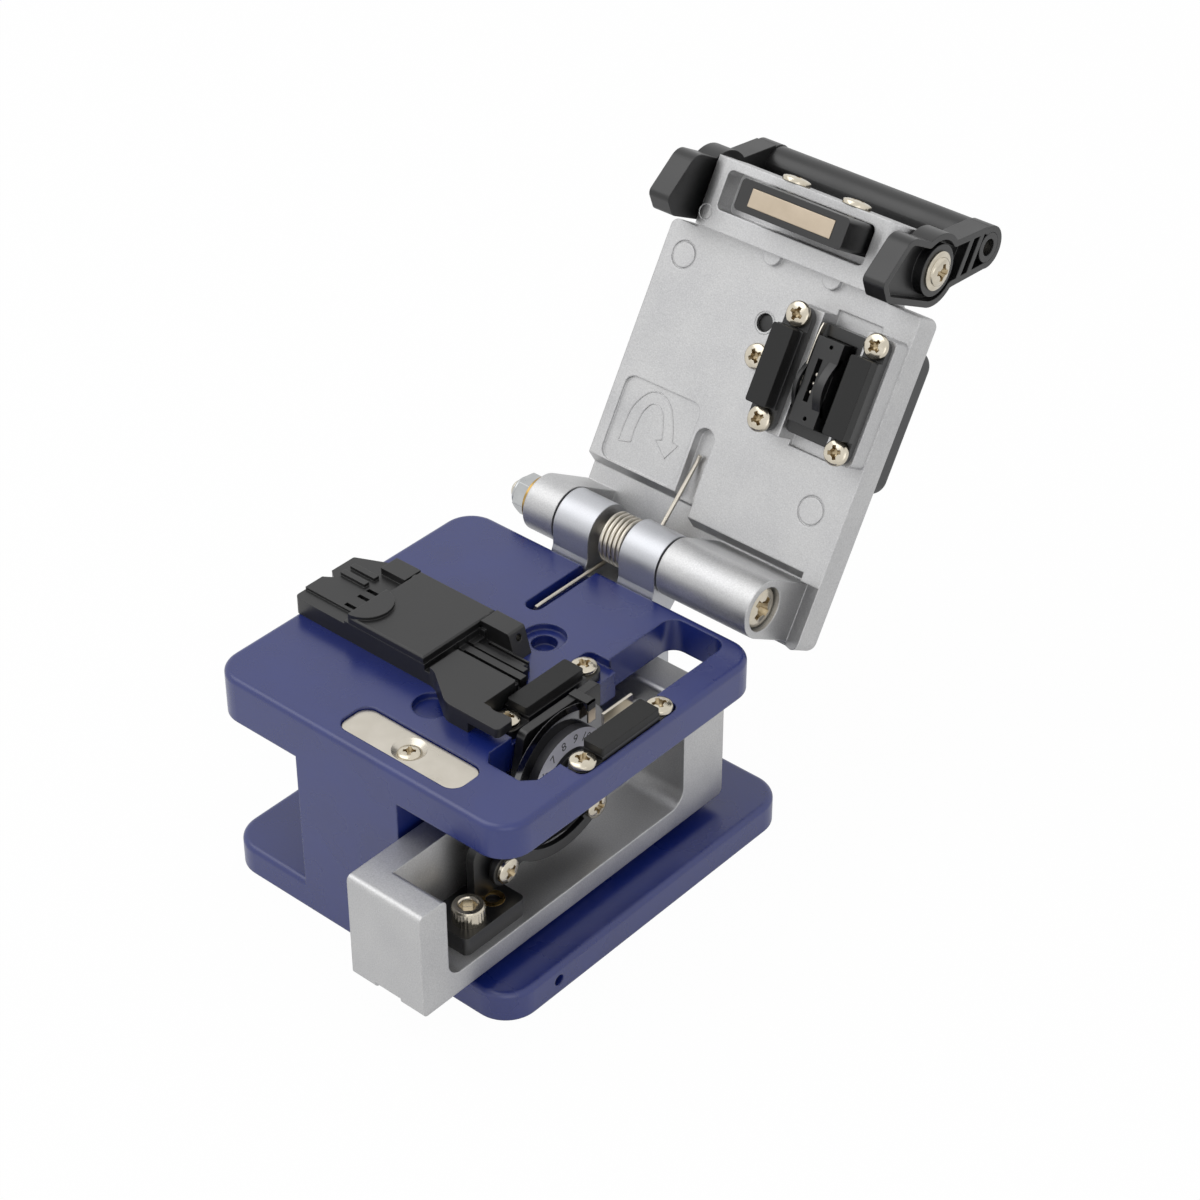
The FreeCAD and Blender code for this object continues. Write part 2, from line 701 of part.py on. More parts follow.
def hinge_screw():
    head = rod("x", HINGE_Y, HINGE_Z, SCREW_SEAT, SCREW_SEAT + HEAD_T, SCREW_HEAD_R)
    head = bevel(head, 0.5, "X", SCREW_SEAT + HEAD_T)
    start = LEFT_LUG_X - WASHER_T - NUT_T - 1.2
    shaft = rod("x", HINGE_Y, HINGE_Z, start, SCREW_SEAT + HEAD_T * 0.4, PIN_R)
    return head.fuse(shaft)


def hinge_nut():
    start = LEFT_LUG_X - RUN * 2 - WASHER_T - NUT_T
    end = start + NUT_T
    flat = PIN_R * 1.9
    points = []
    for i in range(6):
        turn = math.radians(60 * i + 30)
        points.append((HINGE_Y + flat * math.cos(turn), HINGE_Z + flat * math.sin(turn)))
    nut = prism("x", points, start + NUT_T * 0.3, end)
    collar = rod("x", HINGE_Y, HINGE_Z, start, end, flat * 0.8)
    return nut.fuse(collar).cut(rod("x", HINGE_Y, HINGE_Z, start - 1, end + 1, PIN_R + FIT))


def hinge_washer():
    end = LEFT_LUG_X - RUN
    return tube("x", HINGE_Y, HINGE_Z, end - WASHER_T, end, PIN_R * 2.1, PIN_R + FIT)


def upper_leg_ends():
    """Where the upper leg leaves the coil and where it ends, in the lid's own frame."""
    tip = (UPPER_LEG, LID_IN - SLOT_DEPTH + WIRE_R + GAP)
    away = math.hypot(*tip)
    turn = math.atan2(tip[1], tip[0]) - math.acos(COIL_R / away)
    return (COIL_R * math.cos(turn), COIL_R * math.sin(turn)), tip, turn


def torsion_spring():
    touch, tip, turn = upper_leg_ends()
    end_angle = math.degrees(turn) + LID_OPEN
    start_angle = -90.0
    sweep = (end_angle - start_angle) % 360 + 360 * (COIL_TURNS - 1)
    first = GROOVE_X
    pitch = (SLOT_X - 0.6 - first) * 360 / sweep
    helix = Part.makeHelix(pitch, pitch * sweep / 360, COIL_R)
    ring = []
    for i in range(WIRE_SIDES + 1):
        turn_round = 2 * math.pi * i / WIRE_SIDES
        ring.append(FreeCAD.Vector(COIL_R + WIRE_R * math.cos(turn_round), 0,
                                   WIRE_R * math.sin(turn_round)))
    section = Part.makePolygon(ring)
    coil = Part.Wire(helix.Edges).makePipeShell([section], True, True)
    coil.rotate(FreeCAD.Vector(), FreeCAD.Vector(0, 0, 1), start_angle)
    coil.Placement = FreeCAD.Placement(
        FreeCAD.Vector(first, HINGE_Y, HINGE_Z),
        FreeCAD.Rotation(FreeCAD.Vector(0, 1, 0), FreeCAD.Vector(0, 0, 1),
                         FreeCAD.Vector(1, 0, 0), "ZXY"),
    ).multiply(coil.Placement)
    lower = rod("y", first, HINGE_Z - COIL_R, HINGE_Y - LOWER_LEG, HINGE_Y, WIRE_R)
    last = SLOT_X - 0.6
    start_point = FreeCAD.Vector(last, touch[0], touch[1])
    run = FreeCAD.Vector(last, tip[0], tip[1]) - start_point
    upper = open_lid(Part.makeCylinder(WIRE_R, run.Length, start_point, run))
    return fuse([coil, lower, upper])


# ---- carriage and its slide ----
def rail_screw_spots():
    return [RAIL_START + 6, RAIL_START + RAIL_L / 2, RAIL_START + RAIL_L - 6]


def guide_rail():
    x = CAR_X + CAR_W / 2
    rail = box(x - RAIL_W / 2, x + RAIL_W / 2, RAIL_START, RAIL_START + RAIL_L,
               BASE_TOP, BASE_TOP + RAIL_H)
    holes = []
    for y in rail_screw_spots():
        holes.append(rod("z", x, y, BASE_TOP - 1, BASE_TOP + RAIL_H + 1, M2_R + FIT))
        holes.append(rod("z", x, y, BASE_TOP + RAIL_H - RAIL_SINK, BASE_TOP + RAIL_H + 1,
                         RAIL_SCREW_R + FIT))
    return cut(rail, holes)


def guide_rail_screws():
    x = CAR_X + CAR_W / 2
    screw = pan_screw(RAIL_SCREW_L, head_r=RAIL_SCREW_R, head_t=RAIL_SCREW_T)
    seat = BASE_TOP + RAIL_H - RAIL_SINK
    return [aim(screw, (x, y, seat), (0, 0, 1)) for y in rail_screw_spots()]


def guide_block():
    x = CAR_X + CAR_W / 2
    top = BASE_TOP + RAIL_H + RUN + 1.6
    block = box(x - SLIDER_W / 2, x + SLIDER_W / 2, SLIDER_START, SLIDER_START + SLIDER_L,
                top - SLIDER_H, top)
    way = box(x - RAIL_W / 2 - RUN, x + RAIL_W / 2 + RUN, SLIDER_START - 1,
              SLIDER_START + SLIDER_L + 1, 0, BASE_TOP + RAIL_H + RUN)
    return block.cut(way)


def carriage_casting():
    right = CAR_X + CAR_W
    top = CAR_BOTTOM + CAR_FLOOR_T
    points = [
        (CAR_FRONT, CAR_BOTTOM, EDGE_ROUND), (CAR_BACK, CAR_BOTTOM, EDGE_ROUND),
        (CAR_BACK, REAR_TOP - REAR_SLOPE, EDGE_ROUND), (CAR_BACK - REAR_T, REAR_TOP, 0.8),
        (CAR_BACK - REAR_T, top, CAR_FILLET), (CAR_FRONT + BLOCK_T, top, CAR_FILLET),
        (CAR_FRONT + BLOCK_T, BLOCK_TOP, EDGE_ROUND), (CAR_FRONT, BLOCK_TOP, EDGE_ROUND),
    ]
    body = prism("x", points, CAR_X, right)
    side = [
        (CAR_FRONT + BLOCK_T - 1, CAR_BOTTOM + 1), (CAR_BACK - REAR_T + 1, CAR_BOTTOM + 1),
        (CAR_BACK - REAR_T + 1, BLOCK_TOP), (CAR_FRONT + BLOCK_T - 1, BLOCK_TOP),
    ]
    web = prism("x", side, CAR_X, CAR_X + WEB_T)
    x = CAR_X + CAR_W / 2
    slider_top = BASE_TOP + RAIL_H + RUN + 1.6
    seat = box(x - SLIDER_W / 2 - FIT, x + SLIDER_W / 2 + FIT, SLIDER_START - FIT,
               SLIDER_START + SLIDER_L + FIT, 0, slider_top)
    way = box(x - RAIL_W / 2 - GAP, x + RAIL_W / 2 + GAP, CAR_FRONT - 1, CAR_BACK + 1, 0,
              BASE_TOP + RAIL_H + GAP)
    mount = rod("z", CAP_X, CAP_Y, CAR_BOTTOM - 1, top + 1, M3_R + FIT)
    return cut(fuse([body, web]), [seat, way, mount])


def blade_mount():
    floor = CAR_BOTTOM + CAR_FLOOR_T
    foot = plate(MOUNT_X, MOUNT_X + MOUNT_W, MOUNT_FRONT, MOUNT_FRONT + MOUNT_D, floor,
                 floor + MOUNT_T, 1.0)
    holes = [rod("z", CAP_X, CAP_Y, floor - 1, floor + MOUNT_T + 1, M3_R + FIT),
             rod("z", CAP_X - 0.4, INSERT_Y, floor - 1, floor + MOUNT_T + 1, 2.0 + FIT)]
    return cut(foot, holes)


def brass_insert():
    floor = CAR_BOTTOM + CAR_FLOOR_T
    return tube("z", CAP_X - 0.4, INSERT_Y, floor, floor + MOUNT_T, 2.0, 1.2)


def mount_cap_screw():
    seat = CAR_BOTTOM + CAR_FLOOR_T + MOUNT_T
    head = rod("z", CAP_X, CAP_Y, seat, seat + CAP_T, CAP_R)
    points = []
    for i in range(6):
        turn = math.radians(60 * i)
        points.append((CAP_X + 1.45 * math.cos(turn), CAP_Y + 1.45 * math.sin(turn)))
    socket = prism("z", points, seat + CAP_T - 1.6, seat + CAP_T + 1)
    return head.fuse(rod("z", CAP_X, CAP_Y, seat - 6, seat, M3_R)).cut(socket)


def guard_screw_spots():
    rear = WHEEL_Y + GUARD_SCREW_BACK
    height = WHEEL_Z - GUARD_SCREW_DROP
    return [(rear - GUARD_SCREW_SPAN, height), (rear, height)]


def blade_arm():
    seat = CAR_BOTTOM + CAR_FLOOR_T + MOUNT_T
    front = CAP_Y + CAP_R + 0.5
    points = [
        (front, seat), (MOUNT_FRONT + MOUNT_D, seat), (20, seat + 2, 2.0),
        (ARM_BACK, WHEEL_Z - GUARD_SCREW_DROP - 4, 2.0), (ARM_BACK, ARM_TOP, 0.8),
        (ARM_FRONT, ARM_TOP, 1.5), (ARM_FRONT - 2.5, WHEEL_Z, 2.0),
        (front, WHEEL_Z - 6, 3.0),
    ]
    arm = prism("x", points, ARM_X, ARM_X + ARM_T)
    holes = [rod("x", WHEEL_Y, WHEEL_Z, ARM_X - 1, ARM_X + ARM_T + 1, AXLE_R + FIT)]
    for y, z in guard_screw_spots():
        holes.append(rod("x", y, z, ARM_X - 1, ARM_X + ARM_T + 1, M2_R + FIT))
    return cut(arm, holes)


def blade_guard():
    face = WHEEL_FACE + 0.2
    back = face - GUARD_T
    ring = tube("x", WHEEL_Y, WHEEL_Z, back, face, GUARD_R + GUARD_W, GUARD_R)
    ring = ring.cut(box(back - 1, face + 1, 0, DECK_D, WHEEL_Z - GUARD_ENDS, DECK_TOP * 2))
    parts = [ring]
    for y, z in guard_screw_spots():
        parts.append(rod("x", y, z, back, face, PAN_R + 0.6))
        parts.append(rod("x", y, z, ARM_X + ARM_T, face, PAN_R - 0.3))
    guard = fuse(parts)
    clear = rod("x", WHEEL_Y, WHEEL_Z, ARM_X, face + 1, WHEEL_R + 0.6)
    holes = [rod("x", y, z, ARM_X - 1, face + 1, M2_R + FIT) for y, z in guard_screw_spots()]
    return cut(guard, [clear] + holes)


def guard_screws():
    screw = pan_screw(GUARD_SCREW_L)
    return [aim(screw, (WHEEL_FACE + 0.2, y, z), (1, 0, 0)) for y, z in guard_screw_spots()]


def index_tab():
    outer = WHEEL_FACE + TAB_OUT
    near = TAB_Y - TAB_W / 2 - WHEEL_Y
    bottom = WHEEL_Z + math.sqrt((RING_R + GAP) ** 2 - near ** 2)
    top = ARM_TOP + TAB_T
    strip = box(outer, outer + TAB_T, TAB_Y - TAB_W / 2, TAB_Y + TAB_W / 2, bottom, top)
    hook = box(ARM_X, outer + TAB_T, TAB_Y - TAB_W / 2, TAB_Y + TAB_W / 2, ARM_TOP, top)
    return strip.fuse(hook)


def wheel_axle():
    flange = rod("x", WHEEL_Y, WHEEL_Z, ARM_X + ARM_T, WHEEL_FACE - WHEEL_T - RUN, SLEEVE_R + 1)
    shaft = rod("x", WHEEL_Y, WHEEL_Z, ARM_X, WHEEL_FACE + HUB_T, AXLE_R)
    return flange.fuse(shaft).cut(
        rod("x", WHEEL_Y, WHEEL_Z, WHEEL_FACE - 1, WHEEL_FACE + HUB_T + 1, 0.8 + FIT))


def blade_disc():
    back = WHEEL_FACE - WHEEL_T
    middle = WHEEL_FACE - WHEEL_T / 2
    rim = WHEEL_R - WHEEL_BEVEL
    sides = [Part.makeCone(rim, WHEEL_R, WHEEL_T / 2, FreeCAD.Vector(back, WHEEL_Y, WHEEL_Z),
                           FreeCAD.Vector(1, 0, 0)),
             Part.makeCone(WHEEL_R, rim, WHEEL_T / 2, FreeCAD.Vector(middle, WHEEL_Y, WHEEL_Z),
                           FreeCAD.Vector(1, 0, 0))]
    disc = sides[0].fuse(sides[1])
    return disc.cut(rod("x", WHEEL_Y, WHEEL_Z, back - 1, WHEEL_FACE + 1, SLEEVE_R + FIT))


def number_ring():
    return tube("x", WHEEL_Y, WHEEL_Z, WHEEL_FACE, WHEEL_FACE + RING_T, RING_R,
                HUB_R + FIT)


def wheel_hub():
    sleeve = rod("x", WHEEL_Y, WHEEL_Z, WHEEL_FACE - WHEEL_T, WHEEL_FACE, SLEEVE_R)
    cap = rod("x", WHEEL_Y, WHEEL_Z, WHEEL_FACE, WHEEL_FACE + HUB_T, HUB_R)
    hub = sleeve.fuse(bevel(cap, 0.4, "X", WHEEL_FACE + HUB_T))
    return hub.cut(rod("x", WHEEL_Y, WHEEL_Z, 0, WHEEL_FACE + HUB_T + 1, AXLE_R + RUN))


def hub_screw():
    seat = WHEEL_FACE + HUB_T + RUN
    head = rod("x", WHEEL_Y, WHEEL_Z, seat, seat + HUB_SCREW_T, HUB_SCREW_R)
    head = bevel(head, 0.3, "X", seat + HUB_SCREW_T)
    slot = box(seat + 0.5, seat + 3, WHEEL_Y - 0.4, WHEEL_Y + 0.4, WHEEL_Z - 9, WHEEL_Z + 9)
    return head.cut(slot).fuse(rod("x", WHEEL_Y, WHEEL_Z, WHEEL_FACE - 0.9, seat + 0.2, 0.8))


# ---- fibre holder ----
def holder_screw_spots():
    return [(HOLD_X + HOLD_SCREW_X, HOLD_FRONT + HOLD_SCREW_Y),
            (HOLD_X + HOLD_SCREW_X, HOLD_BACK - HOLD_SCREW_Y)]


def holder_base():
    right = HOLD_X + HOLD_W
    notch = HOLD_FRONT + NOTCH_Y
    outline = [
        (HOLD_X, HOLD_FRONT, 1.0), (TOE_X - TOE_BEND, HOLD_FRONT, 4.0), (TOE_X, TOE_FRONT, 4.0),
        (FOOT_X, TOE_FRONT), (FOOT_X, FOOT_BACK, 0.5), (right, FOOT_BACK), (right, HOLD_BACK),
        (HOLD_X + HOLD_CUT[0], HOLD_BACK), (HOLD_X, HOLD_BACK - HOLD_CUT[1], 0.5),
        (HOLD_X, notch + NOTCH_D * 0.7), (HOLD_X + NOTCH_D, notch), (HOLD_X, notch - NOTCH_D * 0.7),
    ]
    body = prism("z", outline, DECK_TOP, HOLD_TOP)
    toe = prism("z", [(FOOT_X - 1, TOE_FRONT), (TOE_X + TOE_W, TOE_FRONT, 0.8),
                      (TOE_X + TOE_W, TOE_FRONT + TOE_D, 0.8), (FOOT_X - 1, TOE_FRONT + TOE_D)],
                HOLD_TOP - TOE_T, HOLD_TOP)
    parts = [body, toe]
    step = (RAIL_BACK - RAIL_FRONT) / len(RAIL_ENDS)
    for i, end in enumerate(RAIL_ENDS):
        parts.append(box(right - 1, FOOT_X - end, RAIL_FRONT + i * step,
                         RAIL_FRONT + (i + 1) * step, DECK_TOP, RAIL_TOP - i * RAIL_STEP))
    parts.append(box(right - 1, FOOT_X - RAIL_ENDS[0], FOOT_BACK - 1, RAIL_FRONT + 1, DECK_TOP,
                     RAIL_TOP - RAIL_STEP))
    ear_left = COVER_X - GAP / 2 - EAR_L_W
    parts.append(box(ear_left, COVER_X - GAP / 2, HOLD_BACK - EAR_D, HOLD_BACK, HOLD_TOP - 1,
                     EAR_TOP))
    ear_x = COVER_X + COVER_W + GAP / 2
    parts.append(prism("y", [(ear_x, DECK_TOP), (ear_x + EAR_R_W + 1.5, DECK_TOP),
                             (ear_x + EAR_R_W, EAR_TOP, 0.5), (ear_x, EAR_TOP)],
                       HOLD_BACK - EAR_D, HOLD_BACK))
    for i in range(2):
        ridge = HOLD_BACK - EAR_D - RIDGE_PITCH * (i + 1)
        parts.append(box(HOLD_X + 2.0, COVER_X - 5.0, ridge, ridge + RIDGE_W, HOLD_TOP - 1,
                         HOLD_TOP + RIDGE_H))
    joined = fuse(parts)
    axis_z = HOLD_TOP - PIN_UNDER
    well = box(COVER_X - GAP / 2, ear_x, COVER_AXIS_Y - WELL_R, HOLD_BACK + 1, axis_z - WELL_R,
               EAR_TOP + 1)
    groove_x = COVER_X + COVER_W + GROOVE_BESIDE
    groove = box(groove_x, groove_x + COVER_GROOVE_W, HOLD_FRONT - 1, HOLD_BACK - EAR_D - 0.5,
                 HOLD_TOP - COVER_GROOVE_W, HOLD_TOP + 1)
    ledge = box(HOLD_X - 1, COVER_X - 1.0, HOLD_FRONT - 1, HOLD_FRONT + LEDGE_D,
                HOLD_TOP - LEDGE_H, HOLD_TOP + 1)
    pin_way = rod("x", COVER_AXIS_Y, axis_z, ear_left - 1, ear_x + EAR_R_W + 3,
                  COVER_PIN_R + FIT)
    bite = rod("z", LEFT_PAD_X, PAD_Y - PAD_SCREW_SPAN / 2, DECK_TOP - 1, HOLD_TOP + 1,
               PAN_R + SCREW_BITE)
    tools = [well, groove, ledge, pin_way, bite]
    for x, y in holder_screw_spots():
        tools.append(rod("z", x, y, DECK_TOP - 1, HOLD_TOP - 1, M2_R + FIT))
    for y in SLOT_ROWS:
        tools.append(box(COVER_X - COVER_GROOVE_W - SLOT_RUN, COVER_X - COVER_GROOVE_W,
                         HOLD_FRONT + y - SLOT_SIZE / 2, HOLD_FRONT + y + SLOT_SIZE / 2,
                         HOLD_TOP - SLOT_SIZE, HOLD_TOP + 1))
    return cut(joined, tools)


def holder_cover():
    axis_z = HOLD_TOP - PIN_UNDER
    low = HOLD_TOP + RUN
    flat = box(COVER_X, COVER_X + COVER_W, HOLD_FRONT, HOLD_BACK - 0.1, low, low + COVER_T)
    flat = bevel(flat, 0.25, "Z", low + COVER_T)
    barrel = rod("x", COVER_AXIS_Y, axis_z, COVER_X, COVER_X + COVER_W, BARREL_R)
    grip = rod("z", COVER_X, HOLD_FRONT + THUMB_R, low + 0.5, low + COVER_T + THUMB_H, THUMB_R)
    grip = grip.cut(box(COVER_X - THUMB_R - 1, COVER_X, 0, DECK_D, 0, HOLD_TOP * 2))
    cover = fuse([flat, barrel, grip])
    return cover.cut(rod("x", COVER_AXIS_Y, axis_z, 0, DECK_W, COVER_PIN_R + RUN))


def holder_pin():
    ear_x = COVER_X + COVER_W + GAP / 2
    return rod("x", COVER_AXIS_Y, HOLD_TOP - PIN_UNDER, COVER_X - GAP / 2 - EAR_L_W + GAP,
               ear_x + EAR_R_W - GAP, COVER_PIN_R)


def holder_screws():
    seat = DECK_BOTTOM + HOLDER_SCREW_SINK
    screw = pan_screw(HOLD_TOP - 1.5 - seat)
    return [aim(screw, (x, y, seat), (0, 0, -1)) for x, y in holder_screw_spots()]


# ---- lid ----
def lid_lug(x, width):
    round_end = rod("x", 0, 0, x, x + width, KNUCKLE_R)
    stem = box(x, x + width, -KNUCKLE_R, KNUCKLE_R, THIN_IN - 1, 0)
    return round_end.fuse(stem)


def lid_casting():
    outline = [
        (LID_X, LID_HEEL, HEEL_R), (LID_RIGHT, LID_HEEL, HEEL_R), (LID_RIGHT, SHOULDER, 1.5),
        (BLOCK_RIGHT, SHOULDER, 0.4), (BLOCK_RIGHT, LID_END, 1.5), (BLOCK_X, LID_END, 1.5),
        (BLOCK_X, SHOULDER, 0.4), (LID_X, SHOULDER, 1.5),
    ]
    flat = prism("z", outline, LID_OUT, LID_IN)
    flat = soften(flat, 0.8, "Z", LID_OUT)
    steps = []
    for x0, x1, end in ((LID_X - 1, THIN_SPLIT, THIN_END),
                        (THIN_SPLIT, RIGHT_LUG_END, THIN_END_RIGHT)):
        steps.append(prism("x", [(LID_HEEL - 1, LID_IN + 1), (LID_HEEL - 1, THIN_IN),
                                 (end, THIN_IN), (end + THIN_SLOPE, LID_IN),
                                 (end + THIN_SLOPE, LID_IN + 1)], x0, x1))
    strip = prism("y", [(RIGHT_LUG_END, THIN_IN), (LID_RIGHT + 0.01, LID_IN),
                        (LID_RIGHT + 0.01, LID_IN + 1), (RIGHT_LUG_END, LID_IN + 1)],
                  LID_HEEL - 1, THIN_END_RIGHT)
    flat = cut(flat, steps + [strip])
    end = prism("y", [(BLOCK_X, LID_IN - 2), (BLOCK_RIGHT, LID_IN - 2),
                      (BLOCK_RIGHT, RIM_W, BLOCK_CORNER), (BLOCK_X, RIM_W, BLOCK_CORNER)],
                BLOCK_V, LID_END)
    parts = [flat, end, lid_lug(LEFT_LUG_X, LEFT_LUG_W), lid_lug(RIGHT_LUG_X, RIGHT_LUG_W)]
    for x in (MAG_SCREW_X, MAG_SCREW_X + MAG_SCREW_SPAN):
        parts.append(rod("z", x, BOSS_V + BOSS_R, LID_IN - 1, LID_IN + BOSS_RISE, BOSS_R))
    parts.append(plate(SEAT_X, LID_RIGHT - SEAT_EDGE, CLAMP_V - CLAMP_L / 2,
                       CLAMP_V + CLAMP_L / 2, LID_IN - 1, SEAT_TOP, 1.0))
    lid = fuse(parts)
    tools = [rod("x", 0, 0, 0, LID_RIGHT + 1, PIN_R + RUN)]
    tools.append(rod("x", 0, 0, SCREW_SEAT - RUN, LID_RIGHT + 1, SCREW_HEAD_R + GAP))
    tools.append(plate(MAG_POCKET_X, MAG_POCKET_X + MAG_POCKET_W, MAG_POCKET_V,
                       MAG_POCKET_V + MAG_POCKET_D, MAG_FLOOR, RIM_W + 1, 1.0))
    tools.append(plate(SLOT_X - SLOT_W / 2, SLOT_X + SLOT_W / 2, SLOT_V, SLOT_V + SLOT_L,
                       LID_IN - SLOT_DEPTH, LID_IN + 3, SLOT_W / 2 - 0.01))
    tools.append(plate(PANEL_X, PANEL_X + PANEL_W, PANEL_V, PANEL_V + PANEL_L,
                       LID_IN - PANEL_DEPTH, LID_IN + 1, 2.0))
    tools.append(box(ANVIL_X - HOUSING_W / 2 - FIT, ANVIL_X + HOUSING_W / 2 + FIT,
                     CLAMP_V - CLAMP_L / 2 - 1, CLAMP_V + CLAMP_L / 2 + 1,
                     LID_IN - CLAMP_DEPTH, SEAT_TOP + 1))
    for x in (MAG_SCREW_X, MAG_SCREW_X + MAG_SCREW_SPAN):
        tools.append(rod("y", x, MAG_SCREW_W, MAG_HOLD_V, LID_END + 1, M2_R + FIT))
    for x, v in lid_pad_screw_spots():
        tools.append(rod("z", x, v, LID_OUT + 2, SEAT_TOP + 1, M2_R + FIT))
    tools.append(rod("z", *LID_HOLE, LID_IN - 3, LID_IN + 1, LID_HOLE_R))
    tools.append(rod("z", LID_SCREW_X, LID_SCREW_V, LID_IN - 4, LID_IN + 1, M2_R + FIT))
    for x, v, radius in EJECTOR_MARKS:
        tools.append(tube("z", x, v, LID_IN - MARK_DEPTH, LID_IN + 1, radius, radius - MARK_W))
    for side in (-1, 1):
        tools.append(rod("x", LEVER_V, LEVER_W, *pivot_span(side), M3_R + FIT))
    tools.append(rod("z", ANVIL_X, CLAMP_V, LID_IN - 3.5, LID_IN, 2.0))
    for x, v in cover_screw_spots():
        tools.append(rod("z", x, v, LID_OUT - 1, LID_OUT + 3.5, M2_R + FIT))
    return cut(lid, tools)


def pivot_span(side):
    if side < 0:
        return (BLOCK_X - 1, BLOCK_X + PIVOT_DEPTH)
    return (BLOCK_RIGHT - PIVOT_DEPTH, BLOCK_RIGHT + 1)


def lid_screw():
    return aim(pan_screw(3.5), (LID_SCREW_X, LID_SCREW_V, LID_IN), (0, 0, 1))


def lid_pad_screw_spots():
    return [(x, CLAMP_V + side * PAD_SCREW_SPAN / 2)
            for x in (LEFT_PAD_X, RIGHT_PAD_X) for side in (-1, 1)]


def lid_block(x):
    half = block_half_width(x)
    length = CLAMP_L - 2 * POCKET_GAP
    slab = plate(x - half, x + half, CLAMP_V - length / 2, CLAMP_V + length / 2, SEAT_TOP,
                 LID_EAR_W, min(half - 0.1, 2.0))
    saddle = box(x - half, x + half, CLAMP_V - PAD_L / 2, CLAMP_V + PAD_L / 2,
                 LID_EAR_W - 0.5, LID_BLOCK_TOP)
    holes = [rod("z", x, CLAMP_V + side * PAD_SCREW_SPAN / 2, SEAT_TOP - 1, LID_EAR_W + 1,
                 M2_R + FIT) for side in (-1, 1)]
    return cut(slab.fuse(saddle), holes)


def lid_pad(x):
    half = min(PAD_W, 2 * block_half_width(x)) / 2
    return plate(x - half, x + half, CLAMP_V - PAD_L / 2, CLAMP_V + PAD_L / 2,
                 LID_BLOCK_TOP, CLOSED_PAD, 0.4)


def lid_pad_screws():
    screw = pan_screw(LID_EAR_W - LID_IN + CLAMP_DEPTH + 2.5, head_r=2.2)
    return [aim(screw, (x, v, LID_EAR_W), (0, 0, 1)) for x, v in lid_pad_screw_spots()]


def anvil_housing():
    seat = LID_IN - CLAMP_DEPTH
    x0, x1 = ANVIL_X - HOUSING_W / 2, ANVIL_X + HOUSING_W / 2
    v0, v1 = CLAMP_V - HOUSING_L / 2, CLAMP_V + HOUSING_L / 2
    housing = plate(x0, x1, v0, v1, seat, HOUSING_TOP, 1.0)
    way = box(ANVIL_X - ANVIL_W / 2 - RUN, ANVIL_X + ANVIL_W / 2 + RUN,
              CLAMP_V - ANVIL_L / 2 - RUN, CLAMP_V + ANVIL_L / 2 + RUN, seat + 1.0,
              HOUSING_TOP + 1)
    return housing.cut(way)


def anvil():
    seat = LID_IN - CLAMP_DEPTH + 1.0 + ANVIL_TRAVEL + LEAF_T + GAP
    half = ANVIL_L / 2
    points = [(CLAMP_V - half, seat), (CLAMP_V + half, seat), (CLAMP_V + half, ANVIL_SHELF, 0.8),
              (CLAMP_V + 3, ANVIL_SHELF + 0.4, 1.0), (CLAMP_V + 1.5, ANVIL_TIP, 0.6),
              (CLAMP_V - 1.5, ANVIL_TIP, 0.6), (CLAMP_V - 3, ANVIL_SHELF + 0.4, 1.0),
              (CLAMP_V - half, ANVIL_SHELF, 0.8)]
    return prism("x", points, ANVIL_X - ANVIL_W / 2, ANVIL_X + ANVIL_W / 2)


def anvil_spring():
    seat = LID_IN - CLAMP_DEPTH + 1.0
    rise = ANVIL_TRAVEL + GAP
    half = ANVIL_L / 2 - 1.5
    points = [(CLAMP_V - half, seat), (CLAMP_V - half + 2, seat), (CLAMP_V - 1.5, seat + rise - 0.02),
              (CLAMP_V + 1.5, seat + rise - 0.02), (CLAMP_V + half - 2, seat),
              (CLAMP_V + half, seat), (CLAMP_V + half, seat + LEAF_T),
              (CLAMP_V + half - 2, seat + LEAF_T), (CLAMP_V + 1.5, seat + rise + LEAF_T - 0.02),
              (CLAMP_V - 1.5, seat + rise + LEAF_T - 0.02), (CLAMP_V - half + 2, seat + LEAF_T),
              (CLAMP_V - half, seat + LEAF_T)]
    return prism("x", points, ANVIL_X - 1.5, ANVIL_X + 1.5)


# ---- magnet ----
def magnet_holder():
    x1 = MAG_HOLD_X + MAG_HOLD_W
    v1 = MAG_HOLD_V + MAG_HOLD_D
    holder = plate(MAG_HOLD_X, x1, MAG_HOLD_V, v1, MAG_FLOOR, MAG_HOLD_TOP, 0.8)
    middle_x = MAG_HOLD_X + MAG_HOLD_W / 2
    middle_v = MAG_HOLD_V + MAG_HOLD_D / 2
    seat = box(middle_x - MAGNET_L / 2 - FIT, middle_x + MAGNET_L / 2 + FIT,
               middle_v - MAGNET_D / 2 - FIT, middle_v + MAGNET_D / 2 + FIT,
               MAG_HOLD_TOP - MAGNET_T, MAG_HOLD_TOP + 1)
    holes = [rod("y", x, MAG_SCREW_W, MAG_HOLD_V - 1, v1 + 1, M2_R + FIT)
             for x in (MAG_SCREW_X, MAG_SCREW_X + MAG_SCREW_SPAN)]
    return cut(holder, [seat] + holes)


def lid_magnet():
    middle_x = MAG_HOLD_X + MAG_HOLD_W / 2
    middle_v = MAG_HOLD_V + MAG_HOLD_D / 2
    return box(middle_x - MAGNET_L / 2, middle_x + MAGNET_L / 2, middle_v - MAGNET_D / 2,
               middle_v + MAGNET_D / 2, MAG_HOLD_TOP - MAGNET_T, MAG_HOLD_TOP + 0.1)


def magnet_screws():
    screw = pan_screw(5.0, head_r=2.5)
    return [aim(screw, (x, LID_END, MAG_SCREW_W), (0, 1, 0))
            for x in (MAG_SCREW_X, MAG_SCREW_X + MAG_SCREW_SPAN)]


